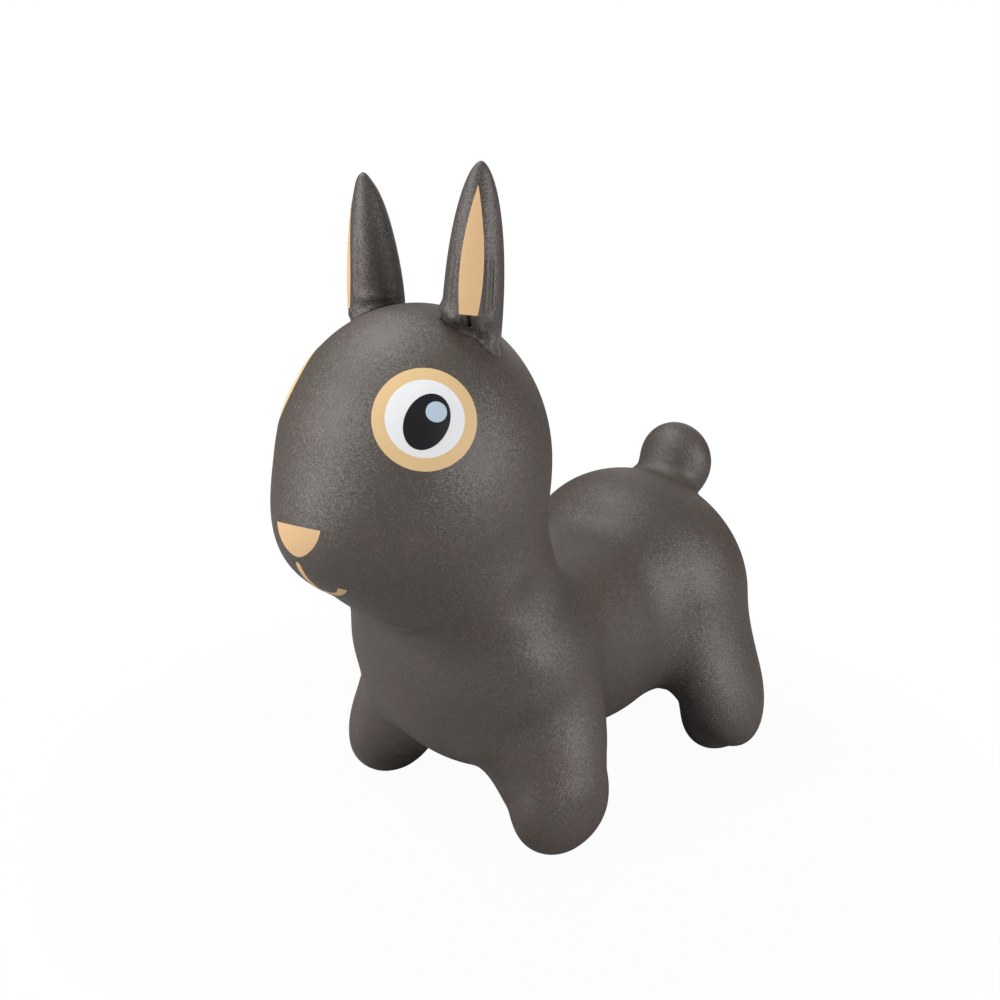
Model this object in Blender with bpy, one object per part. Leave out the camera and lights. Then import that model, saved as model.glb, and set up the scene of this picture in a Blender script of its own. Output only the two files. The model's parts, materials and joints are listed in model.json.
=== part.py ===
"""Inflatable rabbit hopper: a hollow moulded skin with soft ears, face films and a valve stopper.

Metres and +Z up. The rabbit faces -Y and its left side is +X. It stands on z = 0, and the origin is on the
floor under the middle of its box.
"""

import math

import bmesh
import bpy
from mathutils import Matrix, Vector
from mathutils.bvhtree import BVHTree

# Overall sizes. The lumps of the skin and the ears' places are shares of these.
WIDTH = 0.29  # over the hind legs
LENGTH = 0.512  # muzzle to tail
HEIGHT = 0.556  # floor to the left ear's tip

# Skin: plump lumps that swell into each other. A firm lump keeps its own shape, a soft one blends widely.
WALL = 0.0025
SOLE_TRIM = 0.003  # how much of each round foot is pressed flat on the floor
SKIN_LEVEL = 0.2  # field value at which the skin lies
HEAD_FIRMNESS = 6.0
TRUNK_FIRMNESS = 3.0
LEG_FIRMNESS = 1.2
TAIL_FIRMNESS = 8.0
TAIL_NECK_FIRMNESS = 1.0
SKIN_GRID = 0.006
SKIN_FACETS = 3400
EVENING_TURNS = 3

# Head
CRANIUM_WIDTH = 0.736 * WIDTH
CRANIUM_LENGTH = 0.425 * LENGTH
CRANIUM_HEIGHT = 0.448 * HEIGHT
CRANIUM_Y = -0.265 * LENGTH
CRANIUM_Z = 0.585 * HEIGHT
CRANIUM_PITCH = math.radians(-7)
MUZZLE_WIDTH = 0.55 * WIDTH
MUZZLE_LENGTH = 0.415 * LENGTH
MUZZLE_HEIGHT = 0.237 * HEIGHT
MUZZLE_Y = -0.309 * LENGTH
MUZZLE_Z = 0.576 * HEIGHT
MUZZLE_PITCH = math.radians(31)

# Trunk
CHEST_WIDTH = 0.795 * WIDTH
CHEST_LENGTH = 0.323 * LENGTH
CHEST_HEIGHT = 0.394 * HEIGHT
CHEST_Y = -0.141 * LENGTH
CHEST_Z = 0.274 * HEIGHT
CHEST_PITCH = math.radians(16.5)
BELLY_WIDTH = 0.63 * WIDTH
BELLY_LENGTH = 0.471 * LENGTH
BELLY_HEIGHT = 0.319 * HEIGHT
BELLY_Y = 0.117 * LENGTH
BELLY_Z = 0.231 * HEIGHT
RUMP_WIDTH = 0.812 * WIDTH
RUMP_LENGTH = 0.373 * LENGTH
RUMP_HEIGHT = 0.405 * HEIGHT
RUMP_Y = 0.312 * LENGTH
RUMP_Z = 0.273 * HEIGHT
RUMP_PITCH = math.radians(17)

# Legs, on the left side; the right side mirrors them
FORELEG_WIDTH = 0.331 * WIDTH
FORELEG_LENGTH = 0.186 * LENGTH
FORELEG_HEIGHT = 0.254 * HEIGHT
FORELEG_X = 0.283 * WIDTH
FORELEG_Y = -0.115 * LENGTH
FORELEG_Z = 0.148 * HEIGHT
FORELEG_PITCH = math.radians(-24.5)
FORELEG_ROLL = math.radians(-17.5)
FOREFOOT_WIDTH = 0.207 * WIDTH
FOREFOOT_LENGTH = 0.188 * LENGTH
FOREFOOT_HEIGHT = 0.14 * HEIGHT
FOREFOOT_X = 0.351 * WIDTH
FOREFOOT_Y = -0.124 * LENGTH
HINDLEG_WIDTH = 0.255 * WIDTH
HINDLEG_LENGTH = 0.203 * LENGTH
HINDLEG_HEIGHT = 0.307 * HEIGHT
HINDLEG_X = 0.329 * WIDTH
HINDLEG_Y = 0.315 * LENGTH
HINDLEG_Z = 0.168 * HEIGHT
HINDLEG_PITCH = math.radians(7.5)
HINDLEG_ROLL = math.radians(-25.5)
HINDFOOT_WIDTH = 0.214 * WIDTH
HINDFOOT_LENGTH = 0.202 * LENGTH
HINDFOOT_HEIGHT = 0.169 * HEIGHT
HINDFOOT_X = 0.326 * WIDTH
HINDFOOT_Y = 0.362 * LENGTH

# Soft lumps on both sides, which fill the neck, the flank and the join of hind leg and rump
NECK_FIRMNESS = 0.8
NECK_WIDTH = 0.335 * WIDTH
NECK_LENGTH = 0.215 * LENGTH
NECK_HEIGHT = 0.185 * HEIGHT
NECK_X = 0.175 * WIDTH
NECK_Y = -0.214 * LENGTH
NECK_Z = 0.426 * HEIGHT
FLANK_FIRMNESS = 0.6
FLANK_WIDTH = 0.325 * WIDTH
FLANK_LENGTH = 0.38 * LENGTH
FLANK_HEIGHT = 0.185 * HEIGHT
FLANK_X = 0.13 * WIDTH
FLANK_Y = 0.045 * LENGTH
FLANK_Z = 0.298 * HEIGHT
HAUNCH_FIRMNESS = 0.5
HAUNCH_WIDTH = 0.248 * WIDTH
HAUNCH_LENGTH = 0.16 * LENGTH
HAUNCH_HEIGHT = 0.156 * HEIGHT
HAUNCH_X = 0.214 * WIDTH
HAUNCH_Y = 0.398 * LENGTH
HAUNCH_Z = 0.135 * HEIGHT

# Fillets on both sides: fields too weak to make a skin of their own, which swell the hollows they lie in.
# Their sizes are how far they reach.
THROAT_STRENGTH = 0.06
THROAT_WIDTH = 0.483 * WIDTH
THROAT_LENGTH = 0.195 * LENGTH
THROAT_HEIGHT = 0.18 * HEIGHT
THROAT_X = 0.103 * WIDTH
THROAT_Y = -0.3125 * LENGTH
THROAT_Z = 0.369 * HEIGHT
SHOULDER_STRENGTH = 0.1
SHOULDER_WIDTH = 0.552 * WIDTH
SHOULDER_LENGTH = 0.273 * LENGTH
SHOULDER_HEIGHT = 0.342 * HEIGHT
SHOULDER_X = 0.331 * WIDTH
SHOULDER_Y = -0.027 * LENGTH
SHOULDER_Z = 0.315 * HEIGHT
ARMPIT_STRENGTH = 0.15
ARMPIT_WIDTH = 0.345 * WIDTH
ARMPIT_LENGTH = 0.195 * LENGTH
ARMPIT_HEIGHT = 0.198 * HEIGHT
ARMPIT_X = 0.231 * WIDTH
ARMPIT_Y = -0.219 * LENGTH
ARMPIT_Z = 0.158 * HEIGHT
ANKLE_STRENGTH = 0.1
ANKLE_WIDTH = 0.621 * WIDTH
ANKLE_LENGTH = 0.352 * LENGTH
ANKLE_HEIGHT = 0.108 * HEIGHT
ANKLE_X = 0.345 * WIDTH
ANKLE_Y = -0.125 * LENGTH
ANKLE_Z = 0.104 * HEIGHT

# Tail: a ball on a short neck
TAIL_WIDTH = 0.259 * WIDTH
TAIL_LENGTH = 0.114 * LENGTH
TAIL_HEIGHT = 0.138 * HEIGHT
TAIL_Y = 0.436 * LENGTH
TAIL_Z = 0.468 * HEIGHT
TAIL_NECK_WIDTH = 0.21 * WIDTH
TAIL_NECK_LENGTH = 0.072 * LENGTH
TAIL_NECK_HEIGHT = 0.092 * HEIGHT
TAIL_NECK_Y = 0.398 * LENGTH
TAIL_NECK_Z = 0.434 * HEIGHT

# Ears: a horn on a ball root, which sits in a socket of the head and bends there
EAR_LENGTH = 0.207 * HEIGHT
RIGHT_EAR_LENGTH = 0.184 * HEIGHT  # the right ear stands a little lower
EAR_ROOT_RADIUS = 0.0225
EAR_TIP_SETBACK = 0.01  # how far the tip lies behind the ear's front line
EAR_FRONT_CURVE = 2.7  # powers that shape the ear from root to tip
EAR_WIDTH_CURVE = 2.15
EAR_DEPTH_CURVE = 1.65
EAR_TIP_ROUNDING = 0.56
EAR_WALL = 0.0025
EAR_VENT_RADIUS = 0.006  # mould opening under the root
EAR_SPREAD = 0.178 * WIDTH
EAR_SETBACK = 0.019 * LENGTH  # behind the middle of the cranium
EAR_RISE = 0.0082  # the root's centre stands this far above the skin
EAR_TURN = math.radians(35.5)
EAR_SPLAY = math.radians(3.5)
EAR_BEND = math.radians(20)
EAR_CLEARANCE = 0.0004
EAR_SEGMENTS = 20
EAR_ROWS = 10
ROOT_ROWS = 4

# Ear lining: a leaf on the ear's front, pointed at the top
LINING_START = 0.0085
LINING_SHARE = 0.787  # of the ear's length
LINING_WIDTH = 0.0183
LINING_SWELL = math.radians(130)  # past a right angle, so the leaf is widest above its straight foot
LINING_POINT = 0.9  # power that draws the leaf's tip to a point
LINING_ROWS = 14

# Films: thin areas of colour that follow the skin
FILM_THICKNESS = 0.0004
FILM_GAP = 0.0003  # to the skin under it
FILM_SEAM = 0.0003  # between two films that lie side by side
FILM_REACH = 0.02  # the skin curves away by less than this under any one film
FILM_SEGMENTS = 26

# Eye, from the glint outwards
GLINT_RADIUS = 0.0075
GLINT_TOP_RIM = 0.0045
GLINT_SIDE_RIM = 0.005
PUPIL_LENGTH = 0.042
PUPIL_WIDTH = 0.031
PUPIL_TILT = math.radians(28)
PUPIL_DROP = 0.0025
PUPIL_SHIFT = 0.001
WHITE_RIM = 0.0071
EYE_RING_WIDTH = 0.0091
EYE_TURN = math.radians(50.4)
RIGHT_EYE_TURN = math.radians(55)  # the right eye is printed a little further round
EYE_RISE = math.radians(31.5)

# Nose and mouth
NOSE_WIDTH = 0.048
NOSE_HEIGHT = 0.0224
NOSE_CORNER_RADIUS = 0.0018
NOSE_SIDE_CURVE = 1.7  # powers that shape the nose from its top edge to its tip
NOSE_TIP_ROUNDING = 0.6
NOSE_TILT = math.radians(4.5)  # the photo shows it a little higher on the left side
NOSE_DROP = 0.0195  # the nose's top edge below the middle of the muzzle
NOSE_MOUTH_GAP = 0.0052
LIP_LENGTH = 0.0345  # the upright stroke under the nose
SMILE_WIDTH = 0.056
SMILE_LOW = 0.009  # where each side of the smile is lowest, from the middle
SMILE_RISE = 0.0075
MOUTH_STROKE = 0.0048
MOUTH_DIP = math.radians(34)

# Valve under the belly
VALVE_SETBACK = 0.0  # behind the middle of the belly
VALVE_BORE = 0.011
VALVE_BOSS = 0.024
VALVE_BOSS_HEIGHT = 0.0105  # above the inside of the wall
VALVE_SEAT_DEPTH = 0.0012
PLUG_HEAD = 0.022
PLUG_HEAD_THICKNESS = 0.0024
PLUG_LENGTH = 0.0155
PLUG_CORE = 0.0086
PLUG_TIP = 0.0066
PLUG_RIBS = 3
RIB_START = 0.5  # heights on a rib as shares of the ribs' pitch: foot, then slope, land and step below it
RIB_SLOPE = 0.35
RIB_LAND = 0.55
RIB_STEP = 0.6
PLUG_EDGE = 0.6  # rounding of the head's edge as a share of the head's thickness
PLUG_CLEARANCE = 0.0003
TAB_WIDTH = 0.013
TAB_HEIGHT = 0.0055
TAB_THICKNESS = 0.0026
TURNED_STEPS = 24

# Reaches further than any piece of the rabbit is from another
FAR = 0.6

SIDES = {"left": 1, "right": -1}


def clear_scene():
    for obj in list(bpy.data.objects):
        bpy.data.objects.remove(obj)


def linear(*srgb):
    """A screen colour, 0 to 255, as the linear colour that a shader takes."""
    shares = [value / 255 for value in srgb]
    return [share / 12.92 if share <= 0.04045 else ((share + 0.055) / 1.055) ** 2.4 for share in shares]


def material(name, colour, roughness):
    made = bpy.data.materials.new(name)
    made.use_nodes = True
    shader = made.node_tree.nodes["Principled BSDF"]
    shader.inputs["Base Color"].default_value = (*colour, 1)
    shader.inputs["Roughness"].default_value = roughness
    shader.inputs["Metallic"].default_value = 0
    return made


def add_object(name, mesh, look=None, matrix=None, parent=None):
    obj = bpy.data.objects.new(name, mesh)
    bpy.context.scene.collection.objects.link(obj)
    if look:
        mesh.materials.clear()
        mesh.materials.append(look)
    obj.parent = parent
    obj.matrix_world = matrix or Matrix.Identity(4)
    return obj


def add_cutter(name, mesh, matrix=None):
    obj = add_object(name, mesh, matrix=matrix)
    obj.hide_render = True
    obj.display_type = "WIRE"
    return obj


def cut(obj, cutter, operation="DIFFERENCE"):
    modifier = obj.modifiers.new(cutter.name, "BOOLEAN")
    modifier.operation = operation
    modifier.solver = "EXACT"
    modifier.object = cutter


def even_shading(obj):
    """Keeps the smooth shading even where facets were cut."""
    obj.modifiers.new("even_shading", "WEIGHTED_NORMAL")


def evaluated_mesh(obj):
    bpy.context.view_layer.update()
    return bpy.data.meshes.new_from_object(obj.evaluated_get(bpy.context.evaluated_depsgraph_get()))


def smooth(mesh, sharpest=math.radians(40)):
    mesh.shade_smooth()
    mesh.set_sharp_from_angle(angle=sharpest)


def mesh_of(form, name):
    bmesh.ops.recalc_face_normals(form, faces=form.faces)
    mesh = bpy.data.meshes.new(name)
    form.to_mesh(mesh)
    form.free()
    smooth(mesh)
    return mesh


def mirrored(matrix, side):
    """The matrix of a piece that is the same on both sides, moved to the given side of the rabbit."""
    flip = Matrix.Diagonal((side, 1, 1, 1))
    return flip @ matrix @ flip


def turned_mesh(name, profile):
    """A solid of revolution about Z from its profile: (radius, height) points, top to bottom."""
    form = bmesh.new()
    points = [form.verts.new((radius, 0, height)) for radius, height in profile]
    edges = [form.edges.new(pair) for pair in zip(points, points[1:])]
    bmesh.ops.spin(
        form, geom=points + edges, axis=(0, 0, 1), cent=(0, 0, 0), angle=math.tau, steps=TURNED_STEPS,
        use_merge=True,
    )
    bmesh.ops.remove_doubles(form, verts=form.verts, dist=1e-6)
    return mesh_of(form, name)


def arc(centre, radius, start, end, steps):
    """(radius, height) points on an arc, for a turned profile."""
    angles = [start + (end - start) * step / steps for step in range(steps + 1)]
    return [(centre[0] + radius * math.cos(a), centre[1] + radius * math.sin(a)) for a in angles]


# Skin


def add_lump(skin, place, size, firmness, pitch=0.0, roll=0.0):
    """One ellipsoid of the given width, length and height. Its field reaches past the surface it makes alone."""
    reach = math.sqrt(1 - (SKIN_LEVEL / firmness) ** (1 / 3))
    lump = skin.elements.new(type="ELLIPSOID")
    lump.co = place
    lump.radius = 1
    lump.size_x, lump.size_y, lump.size_z = [extent / 2 / reach for extent in size]
    lump.stiffness = firmness
    lump.rotation = (Matrix.Rotation(roll, 3, "Y") @ Matrix.Rotation(pitch, 3, "X")).to_quaternion()


def add_lump_pair(skin, place, size, firmness, pitch=0.0, roll=0.0):
    for side in SIDES.values():
        add_lump(skin, (side * place[0], place[1], place[2]), size, firmness, pitch, side * roll)


def add_fillet_pair(skin, place, reach, strength):
    for side in SIDES.values():
        fillet = skin.elements.new(type="ELLIPSOID")
        fillet.co = (side * place[0], place[1], place[2])
        fillet.radius = 1
        fillet.size_x, fillet.size_y, fillet.size_z = [extent / 2 for extent in reach]
        fillet.stiffness = strength


def add_head(skin):
    size = (CRANIUM_WIDTH, CRANIUM_LENGTH, CRANIUM_HEIGHT)
    add_lump(skin, (0, CRANIUM_Y, CRANIUM_Z), size, HEAD_FIRMNESS, CRANIUM_PITCH)
    size = (MUZZLE_WIDTH, MUZZLE_LENGTH, MUZZLE_HEIGHT)
    add_lump(skin, (0, MUZZLE_Y, MUZZLE_Z), size, HEAD_FIRMNESS, MUZZLE_PITCH)


def add_trunk(skin):
    size = (CHEST_WIDTH, CHEST_LENGTH, CHEST_HEIGHT)
    add_lump(skin, (0, CHEST_Y, CHEST_Z), size, TRUNK_FIRMNESS, CHEST_PITCH)
    size = (BELLY_WIDTH, BELLY_LENGTH, BELLY_HEIGHT)
    add_lump(skin, (0, BELLY_Y, BELLY_Z), size, TRUNK_FIRMNESS)
    size = (RUMP_WIDTH, RUMP_LENGTH, RUMP_HEIGHT)
    add_lump(skin, (0, RUMP_Y, RUMP_Z), size, TRUNK_FIRMNESS, RUMP_PITCH)


def add_legs(skin):
    """Each foot reaches SOLE_TRIM under the floor, where the sole is cut flat."""
    size = (FORELEG_WIDTH, FORELEG_LENGTH, FORELEG_HEIGHT)
    add_lump_pair(skin, (FORELEG_X, FORELEG_Y, FORELEG_Z), size, LEG_FIRMNESS, FORELEG_PITCH, FORELEG_ROLL)
    size = (FOREFOOT_WIDTH, FOREFOOT_LENGTH, FOREFOOT_HEIGHT)
    add_lump_pair(skin, (FOREFOOT_X, FOREFOOT_Y, FOREFOOT_HEIGHT / 2 - SOLE_TRIM), size, TRUNK_FIRMNESS)
    size = (HINDLEG_WIDTH, HINDLEG_LENGTH, HINDLEG_HEIGHT)
    add_lump_pair(skin, (HINDLEG_X, HINDLEG_Y, HINDLEG_Z), size, LEG_FIRMNESS, HINDLEG_PITCH, HINDLEG_ROLL)
    size = (HINDFOOT_WIDTH, HINDFOOT_LENGTH, HINDFOOT_HEIGHT)
    add_lump_pair(skin, (HINDFOOT_X, HINDFOOT_Y, HINDFOOT_HEIGHT / 2 - SOLE_TRIM), size, TRUNK_FIRMNESS)


def add_soft_lumps(skin):
    size = (NECK_WIDTH, NECK_LENGTH, NECK_HEIGHT)
    add_lump_pair(skin, (NECK_X, NECK_Y, NECK_Z), size, NECK_FIRMNESS)
    size = (FLANK_WIDTH, FLANK_LENGTH, FLANK_HEIGHT)
    add_lump_pair(skin, (FLANK_X, FLANK_Y, FLANK_Z), size, FLANK_FIRMNESS)
    size = (HAUNCH_WIDTH, HAUNCH_LENGTH, HAUNCH_HEIGHT)
    add_lump_pair(skin, (HAUNCH_X, HAUNCH_Y, HAUNCH_Z), size, HAUNCH_FIRMNESS)


def add_fillets(skin):
    reach = (THROAT_WIDTH, THROAT_LENGTH, THROAT_HEIGHT)
    add_fillet_pair(skin, (THROAT_X, THROAT_Y, THROAT_Z), reach, THROAT_STRENGTH)
    reach = (SHOULDER_WIDTH, SHOULDER_LENGTH, SHOULDER_HEIGHT)
    add_fillet_pair(skin, (SHOULDER_X, SHOULDER_Y, SHOULDER_Z), reach, SHOULDER_STRENGTH)
    reach = (ARMPIT_WIDTH, ARMPIT_LENGTH, ARMPIT_HEIGHT)
    add_fillet_pair(skin, (ARMPIT_X, ARMPIT_Y, ARMPIT_Z), reach, ARMPIT_STRENGTH)
    reach = (ANKLE_WIDTH, ANKLE_LENGTH, ANKLE_HEIGHT)
    add_fillet_pair(skin, (ANKLE_X, ANKLE_Y, ANKLE_Z), reach, ANKLE_STRENGTH)


def add_tail(skin):
    size = (TAIL_WIDTH, TAIL_LENGTH, TAIL_HEIGHT)
    add_lump(skin, (0, TAIL_Y, TAIL_Z), size, TAIL_FIRMNESS)
    size = (TAIL_NECK_WIDTH, TAIL_NECK_LENGTH, TAIL_NECK_HEIGHT)
    add_lump(skin, (0, TAIL_NECK_Y, TAIL_NECK_Z), size, TAIL_NECK_FIRMNESS)


def swollen_mesh():
    """The outer surface of all the lumps together, before the soles are cut."""
    skin = bpy.data.metaballs.new("lumps")
    skin.threshold = SKIN_LEVEL
    skin.resolution = SKIN_GRID
    skin.render_resolution = SKIN_GRID
    for add in (add_head, add_trunk, add_legs, add_soft_lumps, add_fillets, add_tail):
        add(skin)
    lumps = add_object("lumps", skin)
    mesh = evaluated_mesh(lumps)
    bpy.data.objects.remove(lumps)
    return mesh


def simplified(mesh, facets):
    """The same closed surface with about this many triangles, alike on both sides."""
    helper = add_object("dense_skin", mesh)
    triangles = sum(len(face.vertices) - 2 for face in mesh.polygons)
    fewer = helper.modifiers.new("fewer", "DECIMATE")
    fewer.ratio = facets / triangles
    fewer.use_symmetry = True
    fewer.symmetry_axis = "X"
    fewer.use_collapse_triangulate = True
    result = evaluated_mesh(helper)
    bpy.data.objects.remove(helper)
    return result


def evened(mesh, surface_mesh):
    """Spreads the facets of a mesh evenly over the surface that it stands for."""
    form = bmesh.new()
    form.from_mesh(mesh)
    bmesh.ops.beautify_fill(form, faces=form.faces, edges=form.edges, method="ANGLE")
    form.to_mesh(mesh)
    form.free()
    helper = add_object("coarse_skin", mesh)
    target = add_object("dense_skin", surface_mesh)
    for turn in range(EVENING_TURNS):
        relax = helper.modifiers.new(f"relax_{turn}", "SMOOTH")
        relax.factor = 0.5
        relax.iterations = 2
        wrap = helper.modifiers.new(f"wrap_{turn}", "SHRINKWRAP")
        wrap.target = target
        wrap.wrap_method = "NEAREST_SURFACEPOINT"
    result = evaluated_mesh(helper)
    bpy.data.objects.remove(helper)
    bpy.data.objects.remove(target)
    return result


def press_soles(mesh):
    """Cuts the feet off flat at the floor."""
    form = bmesh.new()
    form.from_mesh(mesh)
    everything = form.verts[:] + form.edges[:] + form.faces[:]
    bmesh.ops.bisect_plane(form, geom=everything, plane_co=(0, 0, 0), plane_no=(0, 0, -1), clear_outer=True)
    bmesh.ops.remove_doubles(form, verts=form.verts, dist=1e-4)
    rims = [edge for edge in form.edges if edge.is_boundary]
    bmesh.ops.edgeloop_fill(form, edges=rims)
    return mesh_of(form, "skin_outside")


def offset_mesh(mesh, distance):
    """A copy of a closed surface that lies this far outside it, or inside it if the distance is negative."""
    form = bmesh.new()
    form.from_mesh(mesh)
    form.normal_update()
    moves = [(vertex, vertex.normal * vertex.calc_shell_factor() * distance) for vertex in form.verts]
    for vertex, move in moves:
        vertex.co += move
    return mesh_of(form, mesh.name + "_offset")


def surface_of(mesh):
    return BVHTree.FromPolygons(
        [vertex.co for vertex in mesh.vertices], [face.vertices for face in mesh.polygons]
    )


def first_hit(surface, start, direction):
    return surface.ray_cast(start, direction, FAR)[0]


# Ears


def ear_matrix(surface):
    """The left ear's frame: its root's centre, Z along the ear, -Y out of its lining."""
    above = Vector((EAR_SPREAD, CRANIUM_Y + EAR_SETBACK, FAR))
    root = surface.ray_cast(above, Vector((0, 0, -1)))[0] + Vector((0, 0, EAR_RISE))
    turn = Matrix.Rotation(EAR_TURN, 4, "Z") @ Matrix.Rotation(EAR_SPLAY, 4, "Y")
    return Matrix.Translation(root) @ turn


def ear_section(share):
    """(half width, front, back) of the ear at this share of its length, in its own frame."""
    half_width = EAR_ROOT_RADIUS * (1 - share**EAR_WIDTH_CURVE) ** EAR_TIP_ROUNDING
    depth = 2 * EAR_ROOT_RADIUS * (1 - share**EAR_DEPTH_CURVE) ** EAR_TIP_ROUNDING
    front = -EAR_ROOT_RADIUS + EAR_TIP_SETBACK * share**EAR_FRONT_CURVE
    return half_width, front, front + depth


def ear_rings(length):
    """Rings of points from the root's underside to just below the tip."""
    sections = []
    for row in range(1, ROOT_ROWS):
        angle = math.radians(90) * (row / ROOT_ROWS - 1)
        radius = EAR_ROOT_RADIUS * math.cos(angle)
        sections.append((radius, -radius, radius, EAR_ROOT_RADIUS * math.sin(angle)))
    for row in range(EAR_ROWS):
        share = math.sin(math.radians(90) * row / EAR_ROWS)
        sections.append((*ear_section(share), length * share))
    rings = []
    for half_width, front, back, height in sections:
        middle = (front + back) / 2
        half_depth = (back - front) / 2
        angles = [math.tau * step / EAR_SEGMENTS for step in range(EAR_SEGMENTS)]
        rings.append(
            [(half_width * math.cos(a), middle + half_depth * math.sin(a), height) for a in angles]
        )
    return rings


def ear_mesh(length):
    form = bmesh.new()
    rings = [[form.verts.new(point) for point in ring] for ring in ear_rings(length)]
    for lower, upper in zip(rings, rings[1:]):
        for step in range(EAR_SEGMENTS):
            after = (step + 1) % EAR_SEGMENTS
            form.faces.new((lower[step], lower[after], upper[after], upper[step]))
    underside = form.verts.new((0, 0, -EAR_ROOT_RADIUS))
    tip = form.verts.new((0, -EAR_ROOT_RADIUS + EAR_TIP_SETBACK, length))
    for step in range(EAR_SEGMENTS):
        after = (step + 1) % EAR_SEGMENTS
        form.faces.new((underside, rings[0][after], rings[0][step]))
        form.faces.new((tip, rings[-1][step], rings[-1][after]))
    return mesh_of(form, "ear")


def socket_mesh(name, radius):
    """A ball that opens upwards in a cone, so that the ear can bend each way in it."""
    mouth = FAR / 6
    flare = radius / math.cos(EAR_BEND) + mouth * math.tan(EAR_BEND)
    bowl = arc((0, 0), radius, -EAR_BEND, -math.radians(90), ROOT_ROWS)
    return turned_mesh(name, [(0, mouth), (flare, mouth), *bowl[:-1], (0, -radius)])


def add_ears(frame, look, lining_look):
    vent = turned_mesh("ear_vent", [(0, 0), (EAR_VENT_RADIUS, 0), (EAR_VENT_RADIUS, -FAR), (0, -FAR)])
    lengths = {"left": EAR_LENGTH, "right": RIGHT_EAR_LENGTH}
    for name, side in SIDES.items():
        place = mirrored(frame, side)
        outside = ear_mesh(lengths[name])
        ear = add_object(f"ear_{name}", outside, look, place)
        cut(ear, add_cutter(f"ear_hollow_{name}", offset_mesh(outside, -EAR_WALL), place))
        cut(ear, add_cutter(f"ear_vent_{name}", vent.copy(), place))
        layer = film_layer(f"ear_{name}", outside, place)
        add_lining(f"ear_lining_{name}", LINING_SHARE * lengths[name], layer, ear, lining_look)


def add_lining(name, length, layer, ear, look):
    """A leaf-shaped film on the ear's front, in the ear's own frame."""
    edge = []
    for row in range(LINING_ROWS):
        share = row / LINING_ROWS
        half_width = LINING_WIDTH / 2 * math.sin(LINING_SWELL * (1 - share)) ** LINING_POINT
        edge.append((half_width, LINING_START + length * share))
    tip = (0, LINING_START + length)
    outline = [*edge, tip, *[(-u, v) for u, v in reversed(edge)]]
    front = Matrix.Translation((0, -EAR_ROOT_RADIUS, 0)) @ Matrix.Rotation(math.radians(90), 4, "X")
    add_film(name, outline_sheet(outline), layer, front, look, ear)


# Films


def film_layer(name, outside, matrix=None):
    """The two faces that a film has over a closed surface, each as a solid: the under and the upper side."""
    under = add_cutter(f"{name}_film_under", offset_mesh(outside, FILM_GAP), matrix)
    over = add_cutter(f"{name}_film_over", offset_mesh(outside, FILM_GAP + FILM_THICKNESS), matrix)
    return under, over


def outline_sheet(points):
    form = bmesh.new()
    form.faces.new([form.verts.new((u, v, 0)) for u, v in points])
    return form


def ring_sheet(inner, outer):
    """A flat ring between two outlines that have the same number of points."""
    form = bmesh.new()
    made = [[form.verts.new((u, v, 0)) for u, v in outline] for outline in (inner, outer)]
    for step in range(len(inner)):
        before = step - 1
        form.faces.new((made[0][before], made[1][before], made[1][step], made[0][step]))
    return form


def add_film(name, sheet, layer, frame, look, parent=None):
    """Cuts a film out of a layer, along the outline of a flat sheet drawn in the frame's XY plane."""
    grown = bmesh.ops.extrude_face_region(sheet, geom=sheet.faces[:])
    moved = [item for item in grown["geom"] if isinstance(item, bmesh.types.BMVert)]
    bmesh.ops.translate(sheet, verts=moved, vec=(0, 0, 2 * FILM_REACH))
    bmesh.ops.transform(sheet, verts=sheet.verts, matrix=frame @ Matrix.Translation((0, 0, -FILM_REACH)))
    film = add_object(name, mesh_of(sheet, name), look)
    if parent:
        film.parent = parent
        film.matrix_parent_inverse = Matrix.Identity(4)
    under, over = layer
    cut(film, over, "INTERSECT")
    cut(film, under)
    even_shading(film)


def ellipse(centre, half_width, half_height, tilt=0.0, grow=0.0):
    """Points round an ellipse whose upper end leans towards +u by the tilt."""
    points = []
    for step in range(FILM_SEGMENTS):
        angle = math.tau * step / FILM_SEGMENTS
        point = Vector(((half_width + grow) * math.cos(angle), (half_height + grow) * math.sin(angle)))
        point.rotate(Matrix.Rotation(-tilt, 2))
        points.append((centre[0] + point.x, centre[1] + point.y))
    return points


def eye_frame(surface, name, side):
    """The eye's middle on the skin, Z out of the skin there, Y up."""
    turn = {"left": EYE_TURN, "right": RIGHT_EYE_TURN}[name]
    level = math.cos(EYE_RISE)
    ray = Vector((side * level * math.sin(turn), -level * math.cos(turn), math.sin(EYE_RISE)))
    middle = first_hit(surface, Vector((0, CRANIUM_Y, CRANIUM_Z)), ray)
    half = Vector((CRANIUM_WIDTH, CRANIUM_LENGTH, CRANIUM_HEIGHT)) / 2
    egg = middle - Vector((0, CRANIUM_Y, CRANIUM_Z))
    out = Vector((egg.x / half.x**2, egg.y / half.y**2, egg.z / half.z**2)).normalized()
    across = Vector((0, 0, 1)).cross(out).normalized()
    axes = Matrix((across, out.cross(across), out)).transposed()
    return Matrix.Translation(middle) @ axes.to_4x4()


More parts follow.
